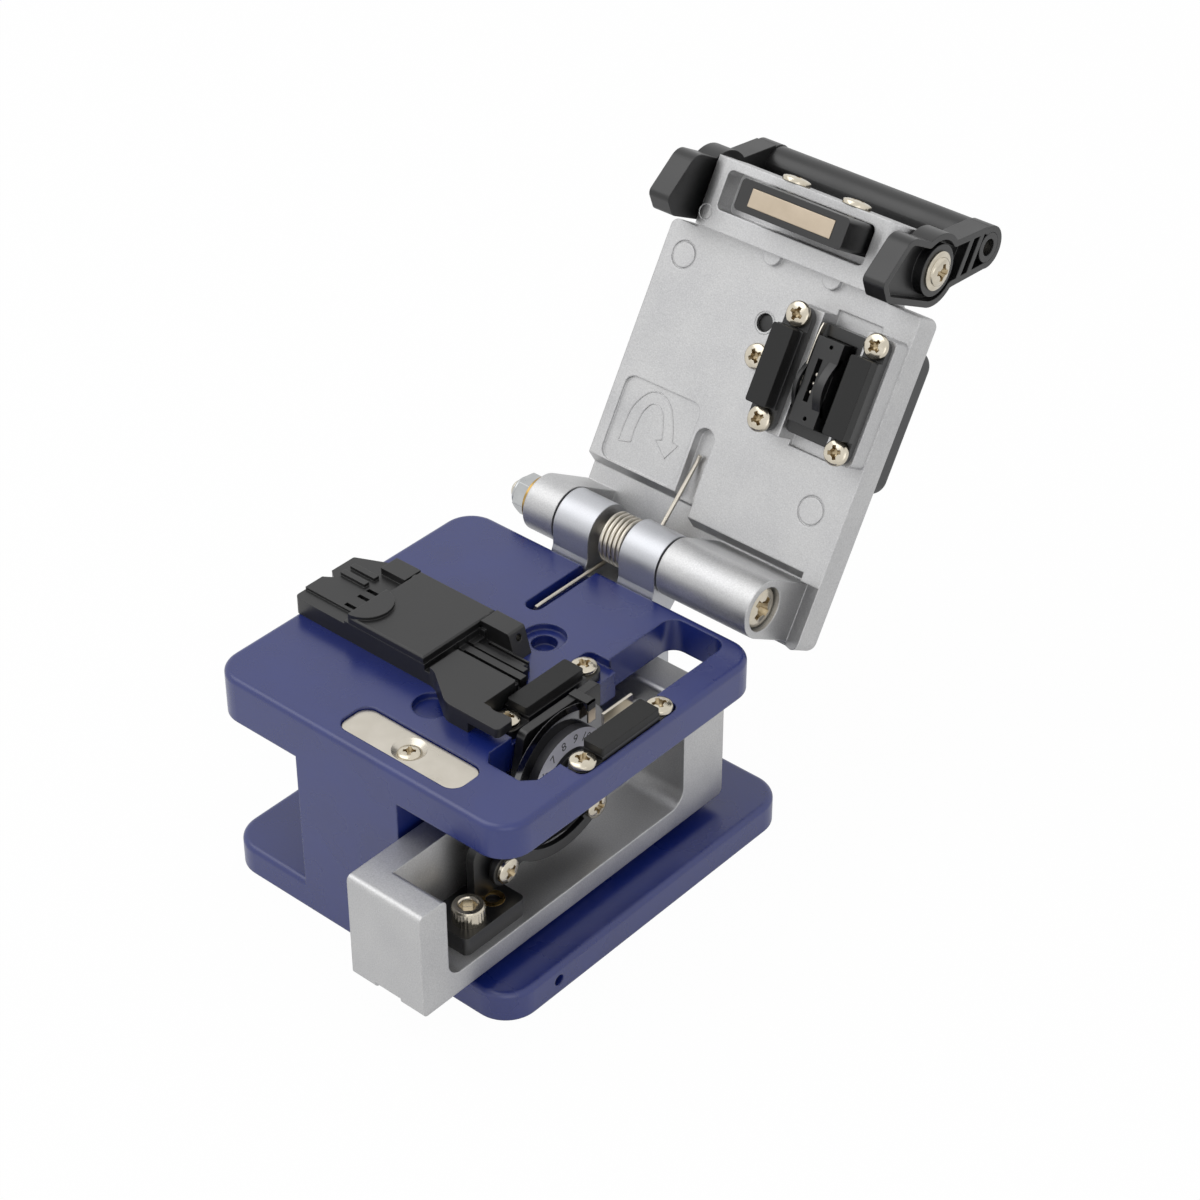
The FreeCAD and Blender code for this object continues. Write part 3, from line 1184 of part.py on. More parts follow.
# ---- outer cover ----
def cover_screw_spots():
    x0, x1 = COVER_OUT_X + 3.5, COVER_OUT_X + COVER_OUT_W - 3.5
    v0, v1 = COVER_OUT_V + 3.5, COVER_OUT_V + COVER_OUT_L - 3.5
    return [(x0, v0), (x1, v1)]


def outer_cover():
    cover = plate(COVER_OUT_X, COVER_OUT_X + COVER_OUT_W, COVER_OUT_V,
                  COVER_OUT_V + COVER_OUT_L, LID_OUT - COVER_OUT_T, LID_OUT, COVER_OUT_R)
    cover = soften(cover, 1.2, "Z", LID_OUT - COVER_OUT_T)
    tools = []
    for x, v in cover_screw_spots():
        tools.append(rod("z", x, v, LID_OUT - 9, LID_OUT + 1, M2_R + FIT))
        tools.append(rod("z", x, v, LID_OUT - 9, LID_OUT - 2.0, PAN_R + 0.15))
    return cut(cover, tools)


def outer_cover_screws():
    screw = pan_screw(5.0)
    return [aim(screw, (x, v, LID_OUT - 2.0), (0, 0, -1)) for x, v in cover_screw_spots()]


# ---- release lever ----
def lever_arm(x0):
    x1 = x0 + LEVER_T
    outer = x0 if x0 == LEFT_ARM_X else x1
    boss = rod("x", LEVER_V, LEVER_W, x0, x1, LEVER_R)
    end = rod("x", GRIP_V, GRIP_W, x0, x1, GRIP_END_R)
    points = [
        (LEVER_V - LEVER_R, LEVER_W), (LEVER_V - 7.2, TOE_TOP - 3.1, 1.5),
        (TOE_V, TOE_TOP, 1.2), (LEVER_V + 4.0, TOE_TOP - 3.7, 3.0),
        (LEVER_V + 4.3, LEVER_W, 4.0), (GRIP_V + GRIP_END_R - 0.5, GRIP_W + 2.5),
        (GRIP_V, GRIP_W), (GRIP_V - GRIP_END_R + 0.4, GRIP_W - 1.5, 0.5),
        (LEVER_V - 1.9, LEVER_W - LEVER_R, 2.0),
    ]
    web = prism("x", points, x0, x1)
    arm = fuse([boss, end, web])
    bores = [rod("x", LEVER_V, LEVER_W, x0 - 1, x1 + 1, M3_R + RUN),
             rod("x", GRIP_V, GRIP_W, x0 - 1, x1 + 1, ROD_R + FIT)]
    return cut(arm, bores + [lever_pocket(arm, outer)])


def lever_pocket(arm, outer):
    """Hollow in the arm's outer face, with a ring round the pivot and two cross ribs."""
    inward = LEVER_POCKET if outer == LEFT_ARM_X else -LEVER_POCKET
    flat = [face for face in arm.Faces
            if abs(face.BoundBox.XMin - outer) < 1e-4 and abs(face.BoundBox.XMax - outer) < 1e-4]
    hollow = flat[0].makeOffset2D(-LEVER_WALL).extrude(FreeCAD.Vector(inward, 0, 0))
    low, high = min(outer, outer + inward) - 1, max(outer, outer + inward) + 1
    kept = [rod("x", LEVER_V, LEVER_W, low, high, PIVOT_HEAD_R + LEVER_WALL),
            rod("x", GRIP_V, GRIP_W, low, high, ROD_R + FIT + LEVER_WALL)]
    for share in RIB_PLACES:
        w = LEVER_W + (GRIP_W - LEVER_W) * share
        kept.append(box(low, high, LEVER_V - LEVER_R * 2, GRIP_V + LEVER_R * 2,
                        w - LEVER_WALL / 2, w + LEVER_WALL / 2))
    return cut(hollow, kept)


def grip_tube():
    return tube("x", GRIP_V, GRIP_W, LEFT_ARM_X + LEVER_T, RIGHT_ARM_X, GRIP_R, ROD_R + FIT)


def grip_rod():
    return rod("x", GRIP_V, GRIP_W, LEFT_ARM_X + ROD_SINK, RIGHT_ARM_X + LEVER_T - ROD_SINK,
               ROD_R)


def lever_pivot_screws():
    shank = LEVER_T + ARM_GAP + PIVOT_DEPTH - 0.5 + RUN
    screw = pan_screw(shank, head_r=PIVOT_HEAD_R, head_t=PIVOT_HEAD_T, shank_r=M3_R)
    left = aim(screw, (LEFT_ARM_X - RUN, LEVER_V, LEVER_W), (-1, 0, 0))
    right = aim(screw, (RIGHT_ARM_X + LEVER_T + RUN, LEVER_V, LEVER_W), (1, 0, 0))
    return [left, right]


# ---- every node ----
def same(shape):
    return shape


NODES = [
    ("body_frame", body_frame(), same),
    ("base_pad", base_pad(), same),
    ("set_screw", set_screw(), same),
    ("keeper_plate", keeper_plate(), same),
    ("keeper_screw", keeper_screw(), same),
    ("deck_clamp_block_left", deck_block(LEFT_PAD_X), same),
    ("deck_clamp_block_right", deck_block(RIGHT_PAD_X), same),
    ("deck_pad_left", deck_pad(LEFT_PAD_X), same),
    ("deck_pad_right", deck_pad(RIGHT_PAD_X), same),
    ("deck_clamp_screws", deck_pad_screws(), same),
    ("fibre_stop_strip", pad_shim(), same),
    ("hinge_bracket", hinge_bracket(), same),
    ("hinge_bracket_screws", hinge_bracket_screws(), same),
    ("hinge_screw", hinge_screw(), same),
    ("hinge_nut", hinge_nut(), same),
    ("hinge_washer", hinge_washer(), same),
    ("torsion_spring", torsion_spring(), same),
    ("guide_rail", guide_rail(), same),
    ("guide_rail_screws", guide_rail_screws(), same),
    ("guide_block", guide_block(), same),
    ("carriage_casting", carriage_casting(), same),
    ("blade_mount", blade_mount(), same),
    ("threaded_insert", brass_insert(), same),
    ("mount_cap_screw", mount_cap_screw(), same),
    ("blade_arm", blade_arm(), same),
    ("blade_guard", blade_guard(), same),
    ("guard_screws", guard_screws(), same),
    ("index_tab", index_tab(), same),
    ("wheel_axle", wheel_axle(), same),
    ("blade_disc", blade_disc(), same),
    ("number_ring", number_ring(), same),
    ("wheel_hub", wheel_hub(), same),
    ("hub_screw", hub_screw(), same),
    ("fibre_holder_base", holder_base(), same),
    ("fibre_holder_cover", holder_cover(), same),
    ("holder_hinge_pin", holder_pin(), same),
    ("holder_screws", holder_screws(), same),
    ("lid_casting", lid_casting(), open_lid),
    ("lid_screw", lid_screw(), open_lid),
    ("lid_clamp_block_left", lid_block(LEFT_PAD_X), open_lid),
    ("lid_clamp_block_right", lid_block(RIGHT_PAD_X), open_lid),
    ("lid_pad_left", lid_pad(LEFT_PAD_X), open_lid),
    ("lid_pad_right", lid_pad(RIGHT_PAD_X), open_lid),
    ("lid_clamp_screws", lid_pad_screws(), open_lid),
    ("anvil_housing", anvil_housing(), open_lid),
    ("anvil", anvil(), open_lid),
    ("anvil_spring", anvil_spring(), open_lid),
    ("magnet_holder", magnet_holder(), open_lid),
    ("lid_magnet", lid_magnet(), open_lid),
    ("magnet_screws", magnet_screws(), open_lid),
    ("outer_cover", outer_cover(), open_lid),
    ("outer_cover_screws", outer_cover_screws(), open_lid),
    ("lever_arm_left", lever_arm(LEFT_ARM_X), open_lid),
    ("lever_arm_right", lever_arm(RIGHT_ARM_X), open_lid),
    ("grip_tube", grip_tube(), open_lid),
    ("grip_rod", grip_rod(), open_lid),
    ("lever_pivot_screws", lever_pivot_screws(), open_lid),
]

os.makedirs("parts", exist_ok=True)
for name, drawn, pose in NODES:
    solids = drawn if isinstance(drawn, list) else [drawn]
    placed = []
    for solid in solids:
        piece = pose(solid)
        piece.translate(ORIGIN * -1)
        placed.append(piece)
    whole = placed[0] if len(placed) == 1 else Part.makeCompound(placed)
    whole.exportStep("parts/" + name + ".step")
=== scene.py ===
import json
import math

import bmesh
import bpy
from mathutils import Matrix, Vector

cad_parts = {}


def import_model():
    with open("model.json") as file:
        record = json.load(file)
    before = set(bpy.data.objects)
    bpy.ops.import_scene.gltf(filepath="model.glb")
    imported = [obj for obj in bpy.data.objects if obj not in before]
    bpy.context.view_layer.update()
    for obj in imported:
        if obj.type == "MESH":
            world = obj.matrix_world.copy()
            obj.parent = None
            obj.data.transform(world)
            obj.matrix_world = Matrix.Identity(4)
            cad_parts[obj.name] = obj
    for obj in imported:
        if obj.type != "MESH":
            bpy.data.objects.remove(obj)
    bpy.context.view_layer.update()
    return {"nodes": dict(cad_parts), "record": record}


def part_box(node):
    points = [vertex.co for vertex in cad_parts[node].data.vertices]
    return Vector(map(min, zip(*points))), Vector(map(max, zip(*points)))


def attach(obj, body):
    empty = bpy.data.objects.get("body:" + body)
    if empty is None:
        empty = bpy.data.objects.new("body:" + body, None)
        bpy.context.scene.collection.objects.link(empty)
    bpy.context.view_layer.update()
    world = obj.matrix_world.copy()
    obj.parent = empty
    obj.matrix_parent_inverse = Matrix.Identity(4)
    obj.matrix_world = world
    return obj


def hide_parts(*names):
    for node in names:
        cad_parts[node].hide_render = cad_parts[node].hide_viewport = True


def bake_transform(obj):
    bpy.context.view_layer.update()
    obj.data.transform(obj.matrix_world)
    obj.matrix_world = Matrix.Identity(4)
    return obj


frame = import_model()
MM = 0.001

# ---- where things are, from the frame ----
JOINTS = {joint["name"]: joint for joint in frame["record"]["behaviour"]["joints"]}
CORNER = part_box("body_frame")[0]                        # deck's front left corner, in plan
HINGE = Vector(JOINTS["lid_hinge"]["pos_m"])
WHEEL = Vector(JOINTS["blade_wheel"]["pos_m"])
X = Vector((1, 0, 0))
Y = Vector((0, 1, 0))
Z = Vector((0, 0, 1))
OUT = -Vector(JOINTS["anvil_slide"]["axis"])            # out of the lid's inner face
ALONG = Vector((0, OUT.z, -OUT.y))                      # up the open lid


def on_lid(x, v, w):
    """A point of the open lid: x along the hinge, v up the lid, w out of its inner face."""
    return Vector((CORNER.x + x * MM, HINGE.y, HINGE.z)) + ALONG * (v * MM) + OUT * (w * MM)


def axes(right, up, normal, place):
    """The matrix that puts local x, y, z along three directions at a place."""
    return Matrix(((right.x, up.x, normal.x, place.x), (right.y, up.y, normal.y, place.y),
                   (right.z, up.z, normal.z, place.z), (0, 0, 0, 1)))


# ---- material helpers ----
class Nodes:
    """Short way to build one node material."""

    def __init__(self, name):
        self.material = bpy.data.materials.new(name)
        self.material.use_nodes = True
        self.tree = self.material.node_tree
        self.shader = self.tree.nodes["Principled BSDF"]
        self.coords = self.tree.nodes.new("ShaderNodeTexCoord").outputs["Object"]

    def add(self, kind, **values):
        node = self.tree.nodes.new(kind)
        for key, value in values.items():
            if key in node.inputs:
                node.inputs[key].default_value = value
            else:
                setattr(node, key, value)
        return node

    def link(self, start, end):
        self.tree.links.new(start, end)

    def set(self, **values):
        for key, value in values.items():
            self.shader.inputs[key.replace("_", " ")].default_value = value

    def noise(self, size_mm, detail=2.0, rough=0.5):
        node = self.add("ShaderNodeTexNoise", Scale=1.0 / (size_mm * MM), Detail=detail,
                        Roughness=rough)
        self.link(self.coords, node.inputs["Vector"])
        return node.outputs["Fac"]

    def spread(self, value, low, high, low_in=0.3, high_in=0.7):
        node = self.add("ShaderNodeMapRange")
        node.inputs["From Min"].default_value = low_in
        node.inputs["From Max"].default_value = high_in
        node.inputs["To Min"].default_value = low
        node.inputs["To Max"].default_value = high
        self.link(value, node.inputs["Value"])
        return node.outputs["Result"]

    def times(self, first, second):
        node = self.add("ShaderNodeMath", operation="MULTIPLY")
        self.link(first, node.inputs[0])
        self.link(second, node.inputs[1])
        return node.outputs[0]

    def mix(self, share, first, second):
        """Colour first where share is 0 and second where it is 1; each is a socket or a colour."""
        node = self.add("ShaderNodeMix", data_type="RGBA")
        self.link(share, node.inputs["Factor"])
        for socket, colour in ((node.inputs["A"], first), (node.inputs["B"], second)):
            if isinstance(colour, tuple):
                socket.default_value = (*colour, 1)
            else:
                self.link(colour, socket)
        return node.outputs["Result"]

    def edges(self, width_mm):
        """1 on sharp edges and 0 on faces."""
        bevel = self.add("ShaderNodeBevel", samples=6)
        bevel.inputs["Radius"].default_value = width_mm * MM
        facing = self.add("ShaderNodeNewGeometry")
        dot = self.add("ShaderNodeVectorMath", operation="DOT_PRODUCT")
        self.link(bevel.outputs["Normal"], dot.inputs[0])
        self.link(facing.outputs["Normal"], dot.inputs[1])
        return self.spread(dot.outputs["Value"], 1.0, 0.0, 0.8, 0.985)

    def bump(self, height, depth_mm, edge_mm):
        """Bump from a height field on top of slightly rounded edges."""
        edge = self.add("ShaderNodeBevel", samples=4)
        edge.inputs["Radius"].default_value = edge_mm * MM
        bump = self.add("ShaderNodeBump", Strength=1.0)
        bump.inputs["Distance"].default_value = depth_mm * MM
        self.link(height, bump.inputs["Height"])
        self.link(edge.outputs["Normal"], bump.inputs["Normal"])
        self.link(bump.outputs["Normal"], self.shader.inputs["Normal"])


def srgb(*levels):
    """Display levels 0-255 as linear colour."""
    out = []
    for level in levels:
        c = level / 255
        out.append(c / 12.92 if c <= 0.04045 else ((c + 0.055) / 1.055) ** 2.4)
    return tuple(out)


def finish(name, dark, light, metallic, rough, grain_mm, depth_mm, edge_mm, patch_mm=9.0,
           speckle=0.0, edge_wear_and_highlight=None, edge_wear_and_highlight_share=0.5, **constant):
    """A surface with grain, slow changes of colour and gloss, soft corners, and wear with painted
    highlight on edges.
    """
    nodes = Nodes(name)
    patch = nodes.noise(patch_mm, 3.0)
    grain = nodes.noise(grain_mm, 2.0)
    colour = nodes.mix(nodes.spread(patch, 0.0, 1.0), dark, light)
    if speckle:
        glint = tuple(min(1.0, c * (1 + speckle)) for c in light)
        shade = tuple(c * (1 - speckle) for c in dark)
        colour = nodes.mix(nodes.spread(grain, 0.0, speckle, 0.5, 0.75), colour, glint)
        colour = nodes.mix(nodes.spread(grain, speckle, 0.0, 0.25, 0.5), colour, shade)
    # lighter colour along the edges: partly wear, partly a painted edge highlight
    if edge_wear_and_highlight:
        chips_and_glints = nodes.spread(nodes.noise(1.3, 4.0, 0.7), 0.0, edge_wear_and_highlight_share, 0.42, 0.62)
        colour = nodes.mix(nodes.times(nodes.edges(edge_mm * 1.2), chips_and_glints), colour, edge_wear_and_highlight)
    nodes.link(colour, nodes.shader.inputs["Base Color"])
    nodes.link(nodes.spread(patch, rough[0], rough[1]), nodes.shader.inputs["Roughness"])
    nodes.set(Metallic=metallic, **constant)
    nodes.bump(grain, depth_mm, edge_mm)
    return nodes.material


# the lighter edge colours below are partly wear and partly painted edge highlight
MATERIALS = {
    "blue_paint": finish("blue_paint", srgb(16, 32, 102), srgb(20, 37, 109), 0.0, (0.25, 0.31),
                         0.9, 0.003, 0.45, edge_wear_and_highlight=srgb(70, 80, 130), edge_wear_and_highlight_share=0.6, IOR=1.69),
    "silver_casting": finish("silver_casting", srgb(187, 187, 188), srgb(197, 197, 197), 1.0,
                             (0.42, 0.5), 0.24, 0.02, 0.35, speckle=0.32,
                             edge_wear_and_highlight=srgb(222, 222, 222), edge_wear_and_highlight_share=0.5),
    "smooth_metal": finish("smooth_metal", srgb(188, 190, 194), srgb(196, 197, 201), 1.0,
                           (0.40, 0.47), 0.22, 0.012, 0.3, speckle=0.22),
    "nickel_screw": finish("nickel_screw", srgb(198, 190, 173), srgb(213, 205, 189), 1.0,
                           (0.14, 0.24), 0.3, 0.006, 0.14, patch_mm=1.6),
    "bright_steel": finish("bright_steel", srgb(197, 191, 179), srgb(208, 202, 191), 1.0,
                           (0.26, 0.34), 0.3, 0.003, 0.14, patch_mm=4.0),
    # its dark base colour is a painted dark reflection on the polished blade
    "blade_steel": finish("blade_steel", srgb(104, 104, 106), srgb(118, 118, 120), 1.0,
                          (0.10, 0.16), 0.5, 0.001, 0.08),
    "magnet": finish("magnet", srgb(180, 166, 147), srgb(192, 178, 159), 1.0, (0.3, 0.38), 0.4,
                     0.004, 0.2, patch_mm=5.0),
    "brass": finish("brass", srgb(170, 140, 84), srgb(190, 158, 98), 1.0, (0.25, 0.32), 0.3,
                    0.003, 0.1, patch_mm=2.0),
    "black_plastic": finish("black_plastic", srgb(10, 10, 11), srgb(15, 15, 16), 0.0,
                            (0.34, 0.42), 0.2, 0.006, 0.22, edge_wear_and_highlight=srgb(52, 53, 55),
                            edge_wear_and_highlight_share=0.35, IOR=1.6),
    "black_metal": finish("black_metal", srgb(11, 11, 12), srgb(16, 16, 17), 0.0, (0.32, 0.4),
                          0.25, 0.008, 0.22, edge_wear_and_highlight=srgb(58, 59, 61), edge_wear_and_highlight_share=0.4, IOR=1.6),
    "rubber": finish("rubber", srgb(11, 11, 11), srgb(17, 17, 17), 0.0, (0.5, 0.58), 0.25, 0.01,
                     0.25, IOR=1.45),
    "grey_cover": finish("grey_cover", srgb(34, 35, 37), srgb(40, 41, 43), 0.0, (0.42, 0.5),
                         0.2, 0.01, 0.4, IOR=1.6),
}
# painted shade inside the screws' cross recesses, darker and browner than the heads
SLOT_SHADE = finish("slot_shade", srgb(150, 134, 106), srgb(184, 168, 138), 1.0, (0.3, 0.4),
                    0.2, 0.004, 0.05, patch_mm=1.0)
ZINC = finish("zinc", srgb(176, 178, 179), srgb(190, 192, 192), 1.0, (0.26, 0.36),
              0.3, 0.006, 0.2, patch_mm=2.0)


def printed_ring():
    """Pale printed face, and dark turned sides that the dial's axis runs through."""
    nodes = Nodes("printed_ring")
    along = nodes.add("ShaderNodeSeparateXYZ")
    nodes.link(nodes.tree.nodes["Texture Coordinate"].outputs["Normal"], along.inputs[0])
    face = nodes.spread(along.outputs["X"], 0.0, 1.0, 0.7, 0.8)
    patch = nodes.spread(nodes.noise(3.0, 3.0), 0.0, 1.0)
    pale = nodes.mix(patch, srgb(196, 195, 203), srgb(206, 205, 213))
    nodes.link(nodes.mix(face, srgb(40, 40, 44), pale), nodes.shader.inputs["Base Color"])
    nodes.link(nodes.spread(patch, 0.36, 0.44, 0, 1), nodes.shader.inputs["Roughness"])
    nodes.bump(nodes.noise(0.3), 0.003, 0.12)
    return nodes.material


PRINTED_RING = printed_ring()


def dress_nodes():
    """Each CAD node gets the finish of its slot, and the dial its printed one."""
    slots = {part["node"]: part["material_slot"] for part in frame["record"]["subparts"]}
    for name, slot in slots.items():
        for place in frame["nodes"][name].material_slots:
            place.material = MATERIALS[slot]
    for place in frame["nodes"]["number_ring"].material_slots:
        place.material = PRINTED_RING


# ---- mesh helpers, in millimetres ----
def revolve(profile, sides=48):
    """The closed mesh of (radius, height) points turned about z, from axis to axis."""
    built = bmesh.new()
    rings = []
    for radius, height in profile:
        count = sides if radius > 0 else 1
        rings.append([built.verts.new((radius * math.cos(2 * math.pi * i / sides),
                                       radius * math.sin(2 * math.pi * i / sides), height))
                      for i in range(count)])
    for low, high in zip(rings, rings[1:]):
        for i in range(sides):
            j = (i + 1) % sides
            corners = [low[i % len(low)], low[j % len(low)], high[j % len(high)],
                       high[i % len(high)]]
            built.faces.new(list(dict.fromkeys(corners)))
    return to_mesh(built)


def taper(bottom, top, low, high):
    """A closed prism between two outlines with as many points, at heights low and high."""
    built = bmesh.new()
    under = [built.verts.new((x, y, low)) for x, y in bottom]
    over = [built.verts.new((x, y, high)) for x, y in top]
    count = len(bottom)
    for i in range(count):
        j = (i + 1) % count
        built.faces.new((under[i], under[j], over[j], over[i]))
    built.faces.new(list(reversed(under)))
    built.faces.new(over)
    return to_mesh(built)


def to_mesh(built):
    """The mesh of a bmesh, with its two material slots."""
    mesh = bpy.data.meshes.new("piece")
    built.to_mesh(mesh)
    built.free()
    for _ in range(2):                  # the piece's own finish, and the painted shade inside its recesses
        mesh.materials.append(None)
    return mesh


def recessed(mesh):
    """The mesh of a cutting tool, marked so that what it cuts gets the painted shade of a recess."""
    for face in mesh.polygons:
        face.material_index = 1
    return mesh


def combine(first, second, operation="DIFFERENCE"):
    """The boolean of two meshes as a new mesh."""
    pair = [bpy.data.objects.new("boolean", mesh) for mesh in (first, second)]
    for each in pair:
        bpy.context.scene.collection.objects.link(each)
    modifier = pair[0].modifiers.new("boolean", "BOOLEAN")
    modifier.operation = operation
    modifier.object = pair[1]
    modifier.solver = "EXACT"
    bpy.context.view_layer.update()
    shown = pair[0].evaluated_get(bpy.context.evaluated_depsgraph_get())
    result = bpy.data.meshes.new_from_object(shown)
    for each in pair:
        bpy.data.objects.remove(each)
    return result


def oblong(half_x, half_y):
    """The corners of a rectangle round the origin."""
    return [(half_x, -half_y), (half_x, half_y), (-half_x, half_y), (-half_x, -half_y)]


def polygon(count, radius, turn=0.0):
    """The corners of a regular polygon round the origin."""
    return [(radius * math.cos(turn + 2 * math.pi * i / count),
             radius * math.sin(turn + 2 * math.pi * i / count)) for i in range(count)]


def piece(name, meshes, body, slot, material=None, smooth_angle=38):
    """One piece from (mesh in mm, matrix in m) pairs, riding on a body."""
    built = bmesh.new()
    for mesh, matrix in meshes:
        copy = mesh.copy()
        copy.transform(matrix @ Matrix.Diagonal((MM, MM, MM, 1)))
        built.from_mesh(copy)
        bpy.data.meshes.remove(copy)
    whole = to_mesh(built)
    whole.name = name
    whole.shade_smooth()
    whole.set_sharp_from_angle(angle=math.radians(smooth_angle))
    whole.materials[0] = material or MATERIALS[slot]
    whole.materials[1] = SLOT_SHADE
    if all(face.material_index == 0 for face in whole.polygons):
        whole.materials.pop()
    shown = bpy.data.objects.new(name, whole)
    bpy.context.scene.collection.objects.link(shown)
    if body:
        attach(shown, body)
    return shown


def block(x0, x1, y0, y1, z0, z1):
    """A box in mm from the deck's corner, as a mesh of the whole frame in mm."""
    mesh = taper(rectangle(x0, x1, y0, y1), rectangle(x0, x1, y0, y1), z0, z1)
    mesh.transform(Matrix.Translation((CORNER.x / MM, CORNER.y / MM, 0)))
    return mesh


def rectangle(x0, x1, y0, y1):
    """The corners of a rectangle between two values of x and two of y."""
    return [(x0, y0), (x1, y0), (x1, y1), (x0, y1)]


def carved(node, tools, body, slot):
    """A CAD node's shape less some tools, which stands for the node."""
    built = bmesh.new()
    built.from_mesh(frame["nodes"][node].data)
    bmesh.ops.remove_doubles(built, verts=built.verts, dist=1e-6)
    bmesh.ops.scale(built, vec=(1 / MM, 1 / MM, 1 / MM), verts=built.verts)
    for face in built.faces:
        face.material_index = 0
    mesh = to_mesh(built)
    if "custom_normal" in mesh.attributes:
        mesh.attributes.remove(mesh.attributes["custom_normal"])
    for tool in tools:
        mesh = combine(mesh, tool)
    shown = piece(node + "_detailed", [(mesh, Matrix.Identity(4))], body, slot)
    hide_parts(node)
    return shown


# ---- screws ----
def solids(node):
    """The points of each separate solid in a CAD node."""
    mesh = frame["nodes"][node].data
    places = {}
    same = [places.setdefault(tuple(round(c / MM, 2) for c in vertex.co), len(places))
            for vertex in mesh.vertices]
    parent = list(range(len(places)))

    def root(i):
        while parent[i] != i:
            parent[i] = parent[parent[i]]
            i = parent[i]
        return i

    for face in mesh.polygons:
        first = root(same[face.vertices[0]])
        for vertex in face.vertices:
            parent[root(same[vertex])] = first
    groups = {}
    for vertex, place in zip(mesh.vertices, same):
        groups.setdefault(root(place), []).append(vertex.co.copy())
    return list(groups.values())


def measure(points, axis):
    """A screw's head and shank, in mm, and the matrix that seats them under its head."""
    side = X if abs(axis.x) < 0.5 else Y
    right = side.cross(axis).normalized()
    up = axis.cross(right)
    middles = []
    for way in (right, up):
        spans = [p.dot(way) for p in points]
        middles.append((min(spans) + max(spans)) / 2)
    centre = right * middles[0] + up * middles[1]

    def off(p):
        return (p - axis * p.dot(axis) - centre).length

    head_r = max(off(p) for p in points)
    spans = [p.dot(axis) for p in points]
    wide = [p.dot(axis) for p in points if off(p) > 0.96 * head_r]
    if sum(wide) / len(wide) < (min(spans) + max(spans)) / 2:
        axis, right = -axis, -right
        spans = [-span for span in spans]
        wide = [-span for span in wide]
    seat = min(wide)
    shank_r = max(off(p) for p in points if p.dot(axis) < min(spans) + 0.05 * MM)
    sizes = {"head_r": head_r / MM, "head_t": (max(spans) - seat) / MM,
             "shank_r": shank_r / MM, "shank_l": (seat - min(spans)) / MM}
    return sizes, axes(right, up, axis, centre + axis * seat)


def crown(radius, low, high, steps=7):
    """Points of a domed top, from its rim to the axis."""
    rise = [(radius * math.cos(math.pi / 2 * i / steps),
             low + (high - low) * math.sin(math.pi / 2 * i / steps)) for i in range(1, steps)]
    return rise + [(0, high)]


def cross_cut(mesh, radius, top, depth):
    """A cross recess with tapered arms and a cone in its middle."""
    arm, narrow, wide = 0.62 * radius, 0.1 * radius, 0.17 * radius
    low, high = top - depth, top + 0.2
    for long_x in (True, False):
        outlines = []
        for length, half in ((0.5 * arm, narrow), (arm * 1.05, wide)):
            outlines.append(oblong(length, half) if long_x else oblong(half, length))
        mesh = combine(mesh, recessed(taper(outlines[0], outlines[1], low, high)))
    cone = revolve([(0, low - 0.15 * radius), (0.22 * radius, low), (0.4 * radius, high), (0, high)],
                   16)
    return combine(mesh, recessed(cone))


def shank(radius, length):
    """Profile of a shank below z 0, from the axis at its pointed end."""
    return [(0, -length), (0.75 * radius, -length), (radius, 0.3 * radius - length)]


def pan_screw(head_r, head_t, shank_r, shank_l):
    """A cross-recessed pan head and its shank, with the head's underside at z 0."""
    rim = 0.55 * head_t
    head = [(shank_r, 0), (0.95 * head_r, 0), (head_r, 0.06 * head_t), (head_r, rim)]
    body = revolve(shank(shank_r, shank_l) + head + crown(head_r, rim, head_t))
    return cross_cut(body, head_r, head_t, 0.7 * head_t)


def flange_screw(head_r, head_t, shank_r, shank_l):
    """A cross-recessed head on a wide thin flange."""
    dome = 0.72 * head_r
    rim = 0.55 * head_t
    flange = [(shank_r, 0), (head_r, 0), (head_r, 0.2 * head_t), (0.96 * head_r, 0.28 * head_t),
              (1.03 * dome, 0.34 * head_t), (dome, rim)]
    body = revolve(shank(shank_r, shank_l) + flange + crown(dome, rim, head_t))
    return cross_cut(body, 1.1 * dome, head_t, 0.75 * head_t)


def sunk_screw(head_r, head_t, shank_r, shank_l):
    """A cross-recessed head on a cone, with its rim at z 0 and a low crown above it."""
    rise = 0.24 * head_r + head_t
    cone = [(shank_r, shank_r - head_r), (head_r, 0)]
    body = revolve(shank(shank_r, shank_l) + cone + crown(head_r, 0, rise))
    return cross_cut(body, 0.95 * head_r, rise, 0.4 * head_r)


SCREWS = {
    "deck_clamp_screws": (Z, "frame", pan_screw),
    "keeper_screw": (Z, "frame", sunk_screw),
    "holder_screws": (Z, "frame", pan_screw),
    "guide_rail_screws": (Z, "frame", pan_screw),
    "hinge_bracket_screws": (Y, "frame", pan_screw),
    "hinge_screw": (X, "frame", pan_screw),
    "guard_screws": (X, "carriage", pan_screw),
    "lid_clamp_screws": (OUT, "lid", pan_screw),
    "lid_screw": (OUT, "lid", pan_screw),
    "outer_cover_screws": (OUT, "lid", pan_screw),
    "magnet_screws": (ALONG, "lid", pan_screw),
    "lever_pivot_screws": (X, "lid", flange_screw),
}
TURN_STEP = math.radians(37)            # from one screw's slot to the next one's


def screws():
    """A detailed screw in place of each CAD one, sharing a mesh where sizes agree."""
    for node, (axis, body, make) in SCREWS.items():
        built = {}
        meshes = []
        for i, points in enumerate(sorted(solids(node), key=lambda p: tuple(p[0]))):
            sizes, seat = measure(points, axis)
            key = tuple(round(size, 2) for size in sizes.values())
            if key not in built:
                built[key] = make(**sizes)
            meshes.append((built[key], seat @ Matrix.Rotation((i + 1) * TURN_STEP, 4, "Z")))
        shown = piece(node + "_detailed", meshes, body, "nickel_screw")
        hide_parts(node)


FLUTES = 30
FLUTE_FOOT = 0.965      # radius between two flutes, as a share of the head's
SOCKET_SHARE = 0.56     # radius of the socket's corners, likewise
SOCKET_DEPTH = 1.7
SOCKET_TURN = 0.3


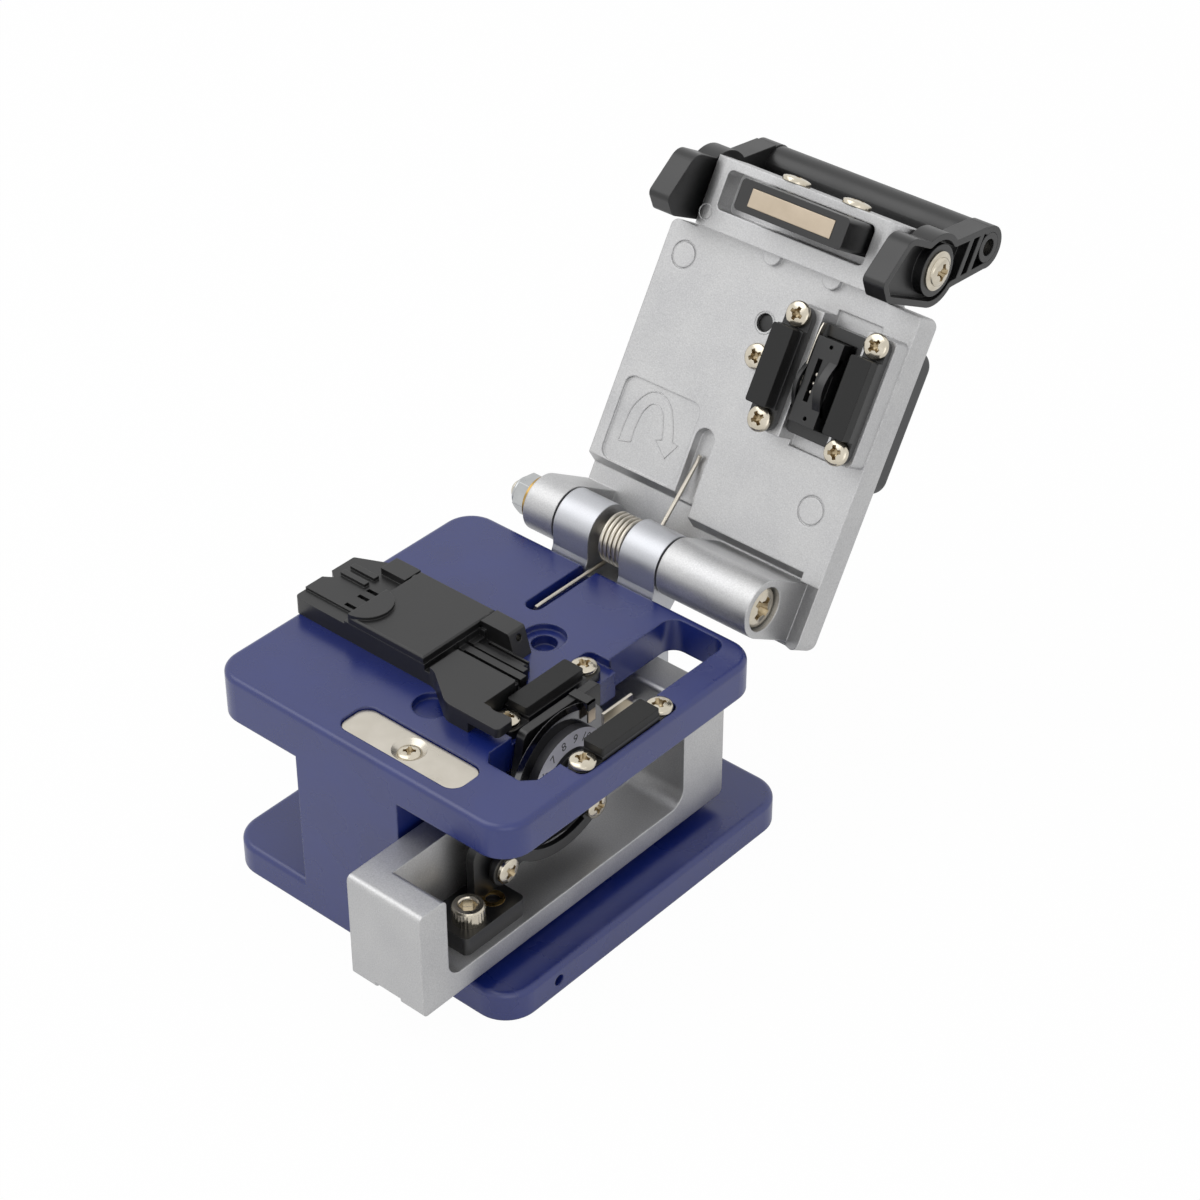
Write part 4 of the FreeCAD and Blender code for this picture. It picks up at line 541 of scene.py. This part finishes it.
def cap_screw():
    """Socket head with a finely fluted side and a hexagonal socket."""
    sizes, seat = measure(solids("mount_cap_screw")[0], Z)
    radius, height = sizes["head_r"], sizes["head_t"]
    side = [(x * (1 if i % 2 else FLUTE_FOOT), y * (1 if i % 2 else FLUTE_FOOT))
            for i, (x, y) in enumerate(polygon(2 * FLUTES, radius))]
    head = taper(side, side, 0, height - 0.45)
    rim = revolve([(0, height - 0.5), (FLUTE_FOOT * radius, height - 0.5),
                   (FLUTE_FOOT * radius, height - 0.3), (0.9 * radius, height), (0, height)])
    head = combine(head, rim, "UNION")
    socket = polygon(6, SOCKET_SHARE * radius, SOCKET_TURN)
    head = combine(head, taper(socket, socket, height - SOCKET_DEPTH, height + 1))
    lead = revolve([(0, height - 0.25), (SOCKET_SHARE * radius, height - 0.25),
                    (0.68 * radius, height + 0.2), (0, height + 0.2)])
    head = combine(head, lead)
    stem = revolve([(0, -sizes["shank_l"]), (sizes["shank_r"], -sizes["shank_l"]),
                    (sizes["shank_r"], 0.1), (0, 0.1)])
    shown = piece("mount_cap_screw_detailed", [(head, seat), (stem, seat)], "carriage",
                  "nickel_screw")
    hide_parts("mount_cap_screw")


def insert_bore():
    """A black cup in the brass insert, painted shade for its threaded bore."""
    low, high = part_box("threaded_insert")
    top = high - Vector(((high.x - low.x) / 2, (high.y - low.y) / 2, 0.35 * MM))
    bore = revolve([(0, -2.0), (1.5, -2.0), (1.5, 0), (1.2, 0), (1.0, -0.8), (0, -0.8)])
    # black cup: painted shade deep in the bore
    piece("insert_bore", [(bore, axes(X, Y, Z, top))], "carriage", "black_metal")


NUT_BORE_R = 2.05


def lock_nut():
    """Hexagon nut with a rounded nylon collar on its outer side."""
    low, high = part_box("hinge_nut")
    corner = (high.z - low.z) / 2 / MM
    length = (high.x - low.x) / MM
    hexagon = polygon(6, corner, math.pi / 2)
    body = taper(hexagon, hexagon, 0, length)
    lens = revolve([(0, -0.1), (0.92 * corner, -0.1), (1.02 * corner, 0.3),
                    (1.02 * corner, 0.66 * length), (0.88 * corner, 0.74 * length),
                    (0.76 * corner, 0.76 * length), (0.76 * corner, 0.9 * length),
                    (0.68 * corner, length), (0, length)])
    body = combine(body, lens, "INTERSECT")
    bore = revolve([(0, -1), (NUT_BORE_R, -1), (NUT_BORE_R, length + 1), (0, length + 1)])
    body = combine(body, bore)
    place = Vector((high.x, HINGE.y, HINGE.z))
    shown = piece("hinge_nut_detailed", [(body, axes(Z, -Y, -X, place))], "frame", "nickel_screw",
                  ZINC)
    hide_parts("hinge_nut")


# ---- wires and outlines ----
def wire(name, points, radius_mm, body, slot, closed=False, smooth=False):
    """A round wire through points, as a mesh."""
    curve = bpy.data.curves.new(name, "CURVE")
    curve.dimensions = "3D"
    spline = curve.splines.new("NURBS" if smooth else "POLY")
    spline.points.add(len(points) - 1)
    for target, point in zip(spline.points, points):
        target.co = (*point, 1)
    if smooth:
        spline.order_u = 3
        spline.use_endpoint_u = not closed
        spline.resolution_u = 8
    spline.use_cyclic_u = closed
    curve.bevel_depth = radius_mm * MM
    curve.bevel_resolution = 4
    curve.use_fill_caps = True
    drawn = bpy.data.objects.new(name, curve)
    bpy.context.scene.collection.objects.link(drawn)
    bpy.context.view_layer.update()
    mesh = bpy.data.meshes.new_from_object(
        drawn.evaluated_get(bpy.context.evaluated_depsgraph_get()))
    bpy.data.objects.remove(drawn)
    mesh.transform(Matrix.Diagonal((1 / MM, 1 / MM, 1 / MM, 1)))
    return piece(name, [(mesh, Matrix.Identity(4))], body, slot, smooth_angle=50)


WIRE_R = 0.4
COIL_R = 4.2
COIL_FIRST = 28.3       # x of the coil's first and last turn
COIL_LAST = 33.2
COIL_START = -math.pi / 2
COIL_SWEEP = math.radians(1842.5)
LEG_BACK = 20.0         # length of the leg in the deck's groove
LEG_TIP = (16.0, -9.1)  # end of the leg in the lid's slot
STEP = math.radians(12)


def torsion_spring():
    """Wound wire: a leg in the deck, the coil round the pin, and a leg in the lid's slot."""
    leg_y = HINGE.y - LEG_BACK * MM
    leg_z = HINGE.z - COIL_R * MM
    x = CORNER.x + COIL_FIRST * MM
    points = [Vector((x, leg_y + 0.3 * MM, leg_z - 0.5 * MM)),
              Vector((x, leg_y + 0.4 * MM, leg_z)),
              Vector((x, leg_y + 1.5 * MM, leg_z))]
    count = round(COIL_SWEEP / STEP)
    for i in range(count + 1):
        share = i / count
        turn = COIL_START + COIL_SWEEP * share
        x = CORNER.x + (COIL_FIRST + (COIL_LAST - COIL_FIRST) * share) * MM
        points.append(Vector((x, HINGE.y + COIL_R * MM * math.cos(turn),
                              HINGE.z + COIL_R * MM * math.sin(turn))))
    points.append(on_lid(COIL_LAST, *LEG_TIP))
    points.append(on_lid(COIL_LAST + 0.3, LEG_TIP[0] + 1.3, LEG_TIP[1] + 0.3))
    spring = wire("torsion_spring_wound", points, WIRE_R, None, "bright_steel")
    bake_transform(spring)
    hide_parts("torsion_spring")


ARROW_W = -8.3          # floor of the lid's panel
ARROW_R = 0.14
ARROW = [                # x and v along the outer side, up from the foot and down to the head
    (17.0, 13.9), (16.9, 17.5), (17.6, 21.2), (20.2, 24.4), (23.4, 24.3), (26.2, 21.6),
    (27.6, 17.5)]
ARROW_BACK = [(25.4, 17.1), (24.3, 20.9), (22.4, 22.5), (20.6, 22.0), (19.2, 18.6), (19.5, 14.5)]
ARROW_HEAD = [(28.9, 17.3), (27.2, 14.3), (24.2, 16.6)]


def arrow():
    """A raised curved arrow that shows which way the lid turns."""
    for name, points, smooth in (("lid_arrow_outer", ARROW, True),
                                 ("lid_arrow_inner", ARROW_BACK, True),
                                 ("lid_arrow_head", [ARROW[-1]] + ARROW_HEAD + [ARROW_BACK[0]],
                                  False),
                                 ("lid_arrow_foot", [ARROW[0], ARROW_BACK[-1]], False)):
        wire(name, [on_lid(x, v, ARROW_W) for x, v in points], ARROW_R, "lid", "silver_casting",
             smooth=smooth)


# ---- blade wheel ----
DIGIT_R = 6.95
DIGIT_SIZE = 2.3
DIGIT_RAISE = 0.02
DIGIT_COUNT = 16
TOP_DIGIT = 8
TOP_TURN = math.radians(11.5)           # from straight up to the middle of the top digit


def digits():
    """Numbers round the dial of the blade wheel."""
    face_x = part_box("number_ring")[1].x
    for number in range(1, DIGIT_COUNT + 1):
        curve = bpy.data.curves.new("digit", "FONT")
        curve.body = str(number)
        curve.size = DIGIT_SIZE
        curve.extrude = DIGIT_RAISE
        curve.align_x = "CENTER"
        curve.align_y = "CENTER"
        drawn = bpy.data.objects.new("digit", curve)
        bpy.context.scene.collection.objects.link(drawn)
        bpy.context.view_layer.update()
        mesh = bpy.data.meshes.new_from_object(
            drawn.evaluated_get(bpy.context.evaluated_depsgraph_get()))
        bpy.data.objects.remove(drawn)
        turn = TOP_TURN + (TOP_DIGIT - number) * 2 * math.pi / DIGIT_COUNT
        up = Vector((0, -math.sin(turn), math.cos(turn)))
        place = Vector((face_x, WHEEL.y, WHEEL.z)) + up * (DIGIT_R * MM)
        piece(f"dial_digit_{number}", [(mesh, axes(up.cross(X), up, X, place))], "blade",
              "black_plastic")


# ---- clamp ----
ANVIL_FACE = -2.2       # heights w of the plate's two faces
ANVIL_BACK = -5.0
ANVIL_MIDDLE = 37.3     # v of the plate's middle
ANVIL_HALF = 7.4
ANVIL_HOLE_V = 6.2      # from the middle to each small hole
ANVIL_HOLE_R = 0.36
BOW_STEPS = 14
CONTACTS = (-1.9, -0.4, 1.2)


def lid_mesh(outline, low, high):
    """A prism on the lid from (x, v) points between two heights w, with its matrix."""
    return taper(outline, outline, low, high), axes(X, ALONG, OUT, on_lid(0, 0, 0))


def bow(name, x0, x1, v0, v1, foot, top, thick, body, slot, power=1.6):
    """A strip bowed out of the lid along v, from w foot at its ends to w top."""
    over = []
    for i in range(BOW_STEPS + 1):
        share = i / BOW_STEPS
        rise = math.sin(math.pi * share) ** power
        over.append((v0 + (v1 - v0) * share, foot + (top - foot) * rise))
    under = [(v, w - thick) for v, w in reversed(over)]
    outline = under + over
    mesh = taper(outline, outline, x0, x1)
    return piece(name, [(mesh, axes(ALONG, OUT, X, on_lid(0, 0, 0)))], body, slot)


def anvil():
    """Plate with a slot, holes, contacts and a bowed tongue, and a finger and leaf on the lid."""
    low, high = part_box("anvil")
    x0 = (low.x - CORNER.x) / MM
    x1 = (high.x - CORNER.x) / MM
    middle = ANVIL_MIDDLE
    outline = rectangle(x0 - 0.1, x1 - 0.9, middle - ANVIL_HALF, middle + ANVIL_HALF)
    plate, matrix = lid_mesh(outline, ANVIL_BACK, ANVIL_FACE)
    for v in (middle - ANVIL_HOLE_V, middle + ANVIL_HOLE_V):
        outline = [(x0 + 2.9 + x, v + y) for x, y in polygon(20, ANVIL_HOLE_R)]
        plate = combine(plate, lid_mesh(outline, ANVIL_FACE - 1.5, 0)[0])
    slot = rectangle(x0 + 1.3, x0 + 2.2, middle - 3.6, middle + 3.8)
    plate = combine(plate, lid_mesh(slot, ANVIL_FACE - 1.6, 0)[0])
    shown = piece("anvil_plate", [(plate, matrix)], "anvil", "black_plastic")
    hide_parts("anvil")
    bow("anvil_tongue", x0 + 3.5, x1 - 0.9, middle - 5.2, middle + 4.8,
        ANVIL_FACE - 0.6, ANVIL_FACE + 1.6, 1.1, "anvil", "black_plastic", 1.0)
    bow("anvil_finger", x0 - 1.0, x0 - 0.3, middle - 5.4, middle + 3.4,
        ANVIL_FACE - 1.2, ANVIL_FACE + 0.9, 0.9, "lid", "black_plastic", 1.0)
    bow("anvil_leaf", x0 - 0.75, x0 - 0.5, middle - 1.6, middle + 9.4,
        ANVIL_FACE - 0.9, ANVIL_FACE - 0.3, 1.2, "lid", "bright_steel", 0.6)
    for i, offset in enumerate(CONTACTS):
        bead = revolve([(0, -0.4), (0.3, -0.25), (0.42, 0), (0.3, 0.25), (0, 0.4)], 12)
        tilt = Matrix.Rotation(0.9 + 0.7 * i, 4, "X")
        seat = axes(X, ALONG, OUT, on_lid(x0 + 1.75, middle + offset, ANVIL_FACE - 0.8)) @ tilt
        piece(f"anvil_contact_{i + 1}", [(bead, seat)], "anvil", "bright_steel")


HOLE_X, HOLE_V, HOLE_R = 37.0, 42.5, 1.6         # blind hole in the lid's inner face
LID_FACE = -7.8
RING_SIDES = 36
BLOCK_MARK = (20.6, 56.2, -4.2)                  # ejector mark, x, v and w


def ring(name, radius, thick, x, v, w):
    """A thin round line on the lid's inner face."""
    points = [on_lid(x + across, v + along, w)
              for across, along in polygon(RING_SIDES, radius)]
    wire(name, points, thick, "lid", "silver_casting", closed=True)


def lid_marks():
    """A black disc of painted shade on the hole's floor, the hole's pressed rim, and the ejector
    mark on the end block.
    """
    side = HOLE_R - 0.05
    floor = revolve([(0, -0.3), (side, -0.3), (side, 0.15), (1.1, 0.3), (0, 0.1)])
    # black disc: painted shade at the bottom of the hole
    piece("lid_hole_painted_shade", [(floor, axes(X, ALONG, OUT, on_lid(HOLE_X, HOLE_V, LID_FACE - 1.0)))],
          "lid", "black_plastic")
    ring("lid_hole_rim", HOLE_R + 0.35, 0.1, HOLE_X, HOLE_V, LID_FACE)
    ring("block_mark", 1.3, 0.09, *BLOCK_MARK)


GROOVES = ((27.3, 29.3), (29.6, 29.3), (32.4, 31.4))   # y and left end of each groove
GROOVE_HALF = 0.28
GROOVE_RIGHT = 46.5
GROOVE_FLOOR = 41.9
GROOVE_TOP = 46.0


def fibre_holder():
    """Holder with the deep grooves beside its rails."""
    tools = [block(left, GROOVE_RIGHT, y - GROOVE_HALF, y + GROOVE_HALF, GROOVE_FLOOR, GROOVE_TOP)
             for y, left in GROOVES]
    carved("fibre_holder_base", tools, "frame", "black_plastic")


TAB_THICK = 0.3
STRIP_SHARE = 0.6       # bright part of the pointer's height


def tab():
    """Bright pointer in front of the dial, on a dark hook."""
    low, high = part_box("index_tab")
    lift = STRIP_SHARE * (high.z - low.z)
    x = (high.x / MM - TAB_THICK, high.x / MM)
    y = (low.y / MM, high.y / MM)
    z = (low.z / MM, (low.z + lift) / MM, high.z / MM)
    strip = taper(rectangle(*x, *y), rectangle(*x, *y), z[0], z[1])
    piece("index_tab_strip", [(strip, Matrix.Identity(4))], "carriage", "magnet")
    upper = taper(rectangle(*x, *y), rectangle(*x, *y), z[1], z[2])
    across = rectangle(low.x / MM, x[1], *y)
    hook = taper(across, across, z[2] - TAB_THICK, z[2])
    shown = piece("index_tab_hook", [(upper, Matrix.Identity(4)), (hook, Matrix.Identity(4))],
                  "carriage", "black_metal")
    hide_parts("index_tab")


# ---- stage ----
FLOOR_HALF = 3.0
FLOOR_TONE = (0.9, 0.9, 0.9, 1)
FLOOR_SEEN = 0.975      # share of plain white that the camera sees, which leaves the shadow
FLOOR_GLOSSY = 0.45     # the same share in glossy reflections


def stage():
    """White floor that keeps a faint shadow."""
    size = FLOOR_HALF
    mesh = bpy.data.meshes.new("floor")
    mesh.from_pydata([(-size, -size, 0), (size, -size, 0), (size, size, 0), (-size, size, 0)], [],
                     [(0, 1, 2, 3)])
    floor = bpy.data.objects.new("floor", mesh)
    bpy.context.scene.collection.objects.link(floor)
    nodes = Nodes("floor_white")
    nodes.set(Base_Color=FLOOR_TONE, Roughness=0.9)
    glow = nodes.add("ShaderNodeEmission", Strength=1.0)
    mix = nodes.add("ShaderNodeMixShader")
    path = nodes.add("ShaderNodeLightPath")
    seen = nodes.add("ShaderNodeMath", operation="MULTIPLY")
    seen.inputs[1].default_value = FLOOR_SEEN
    glossy = nodes.add("ShaderNodeMath", operation="MULTIPLY")
    glossy.inputs[1].default_value = FLOOR_GLOSSY
    share = nodes.add("ShaderNodeMath", operation="MAXIMUM")
    nodes.link(path.outputs["Is Camera Ray"], seen.inputs[0])
    nodes.link(path.outputs["Is Glossy Ray"], glossy.inputs[0])
    nodes.link(seen.outputs[0], share.inputs[0])
    nodes.link(glossy.outputs[0], share.inputs[1])
    nodes.link(share.outputs[0], mix.inputs["Fac"])
    nodes.link(nodes.shader.outputs[0], mix.inputs[1])
    nodes.link(glow.outputs[0], mix.inputs[2])
    nodes.link(mix.outputs[0], nodes.tree.nodes["Material Output"].inputs["Surface"])
    mesh.materials.append(nodes.material)


def world(level):
    """White to the camera, to gloss and through glass, and a level for the rest."""
    scene_world = bpy.data.worlds.new("studio")
    bpy.context.scene.world = scene_world
    scene_world.use_nodes = True
    tree = scene_world.node_tree
    back = tree.nodes["Background"]
    path = tree.nodes.new("ShaderNodeLightPath")
    seen = tree.nodes.new("ShaderNodeMath")
    seen.operation = "MAXIMUM"
    seen_all = tree.nodes.new("ShaderNodeMath")
    seen_all.operation = "MAXIMUM"
    strength = tree.nodes.new("ShaderNodeMapRange")
    strength.inputs["To Min"].default_value = level
    strength.inputs["To Max"].default_value = 1.0
    tree.links.new(path.outputs["Is Camera Ray"], seen.inputs[0])
    tree.links.new(path.outputs["Is Glossy Ray"], seen.inputs[1])
    tree.links.new(seen.outputs[0], seen_all.inputs[0])
    tree.links.new(path.outputs["Is Transmission Ray"], seen_all.inputs[1])
    tree.links.new(seen_all.outputs[0], strength.inputs["Value"])
    tree.links.new(strength.outputs[0], back.inputs["Strength"])
    back.inputs["Color"].default_value = (1, 1, 1, 1)


def area(name, place, target, size, power):
    """A rectangular lamp that faces a target."""
    light = bpy.data.lights.new(name, "AREA")
    light.shape = "RECTANGLE"
    light.size, light.size_y = size
    light.energy = power
    lamp = bpy.data.objects.new(name, light)
    bpy.context.scene.collection.objects.link(lamp)
    lamp.location = place
    lamp.rotation_euler = (Vector(place) - Vector(target)).to_track_quat("Z", "Y").to_euler()


AZIMUTH = math.radians(41.13)
ELEVATION = math.radians(35.75)
ROLL = math.radians(-0.13)
CAMERA_FAR = 0.430
CAMERA_TARGET = Vector((0.03693, -0.01894, 0.07767))
LENS = 88.83
SENSOR = 36.0


def camera():
    """A camera at the photo's viewing angle."""
    back = Vector((math.sin(AZIMUTH) * math.cos(ELEVATION),
                   -math.cos(AZIMUTH) * math.cos(ELEVATION), math.sin(ELEVATION)))
    right = Vector((math.cos(AZIMUTH), math.sin(AZIMUTH), 0))
    up = back.cross(right)
    tilt = Matrix.Rotation(ROLL, 4, back)
    data = bpy.data.cameras.new("camera")
    data.lens = LENS
    data.sensor_width = SENSOR
    data.clip_start = 0.01
    view = bpy.data.objects.new("camera", data)
    view.matrix_world = axes(tilt @ right, tilt @ up, back, CAMERA_TARGET + back * CAMERA_FAR)
    bpy.context.scene.collection.objects.link(view)
    bpy.context.scene.camera = view


dress_nodes()
screws()
cap_screw()
insert_bore()
lock_nut()
torsion_spring()
arrow()
digits()
anvil()
carved("anvil_housing", [], "lid", "black_metal")
lid_marks()
fibre_holder()
tab()
stage()
world(0.7)
area("key", (-0.35, -0.25, 0.75), (0, 0, 0.05), (0.7, 0.7), 2.0)
area("fill", (0.6, -0.5, 0.35), (0, 0, 0.04), (0.6, 0.5), 0.7)
camera()
bpy.context.scene.view_settings.view_transform = "Standard"
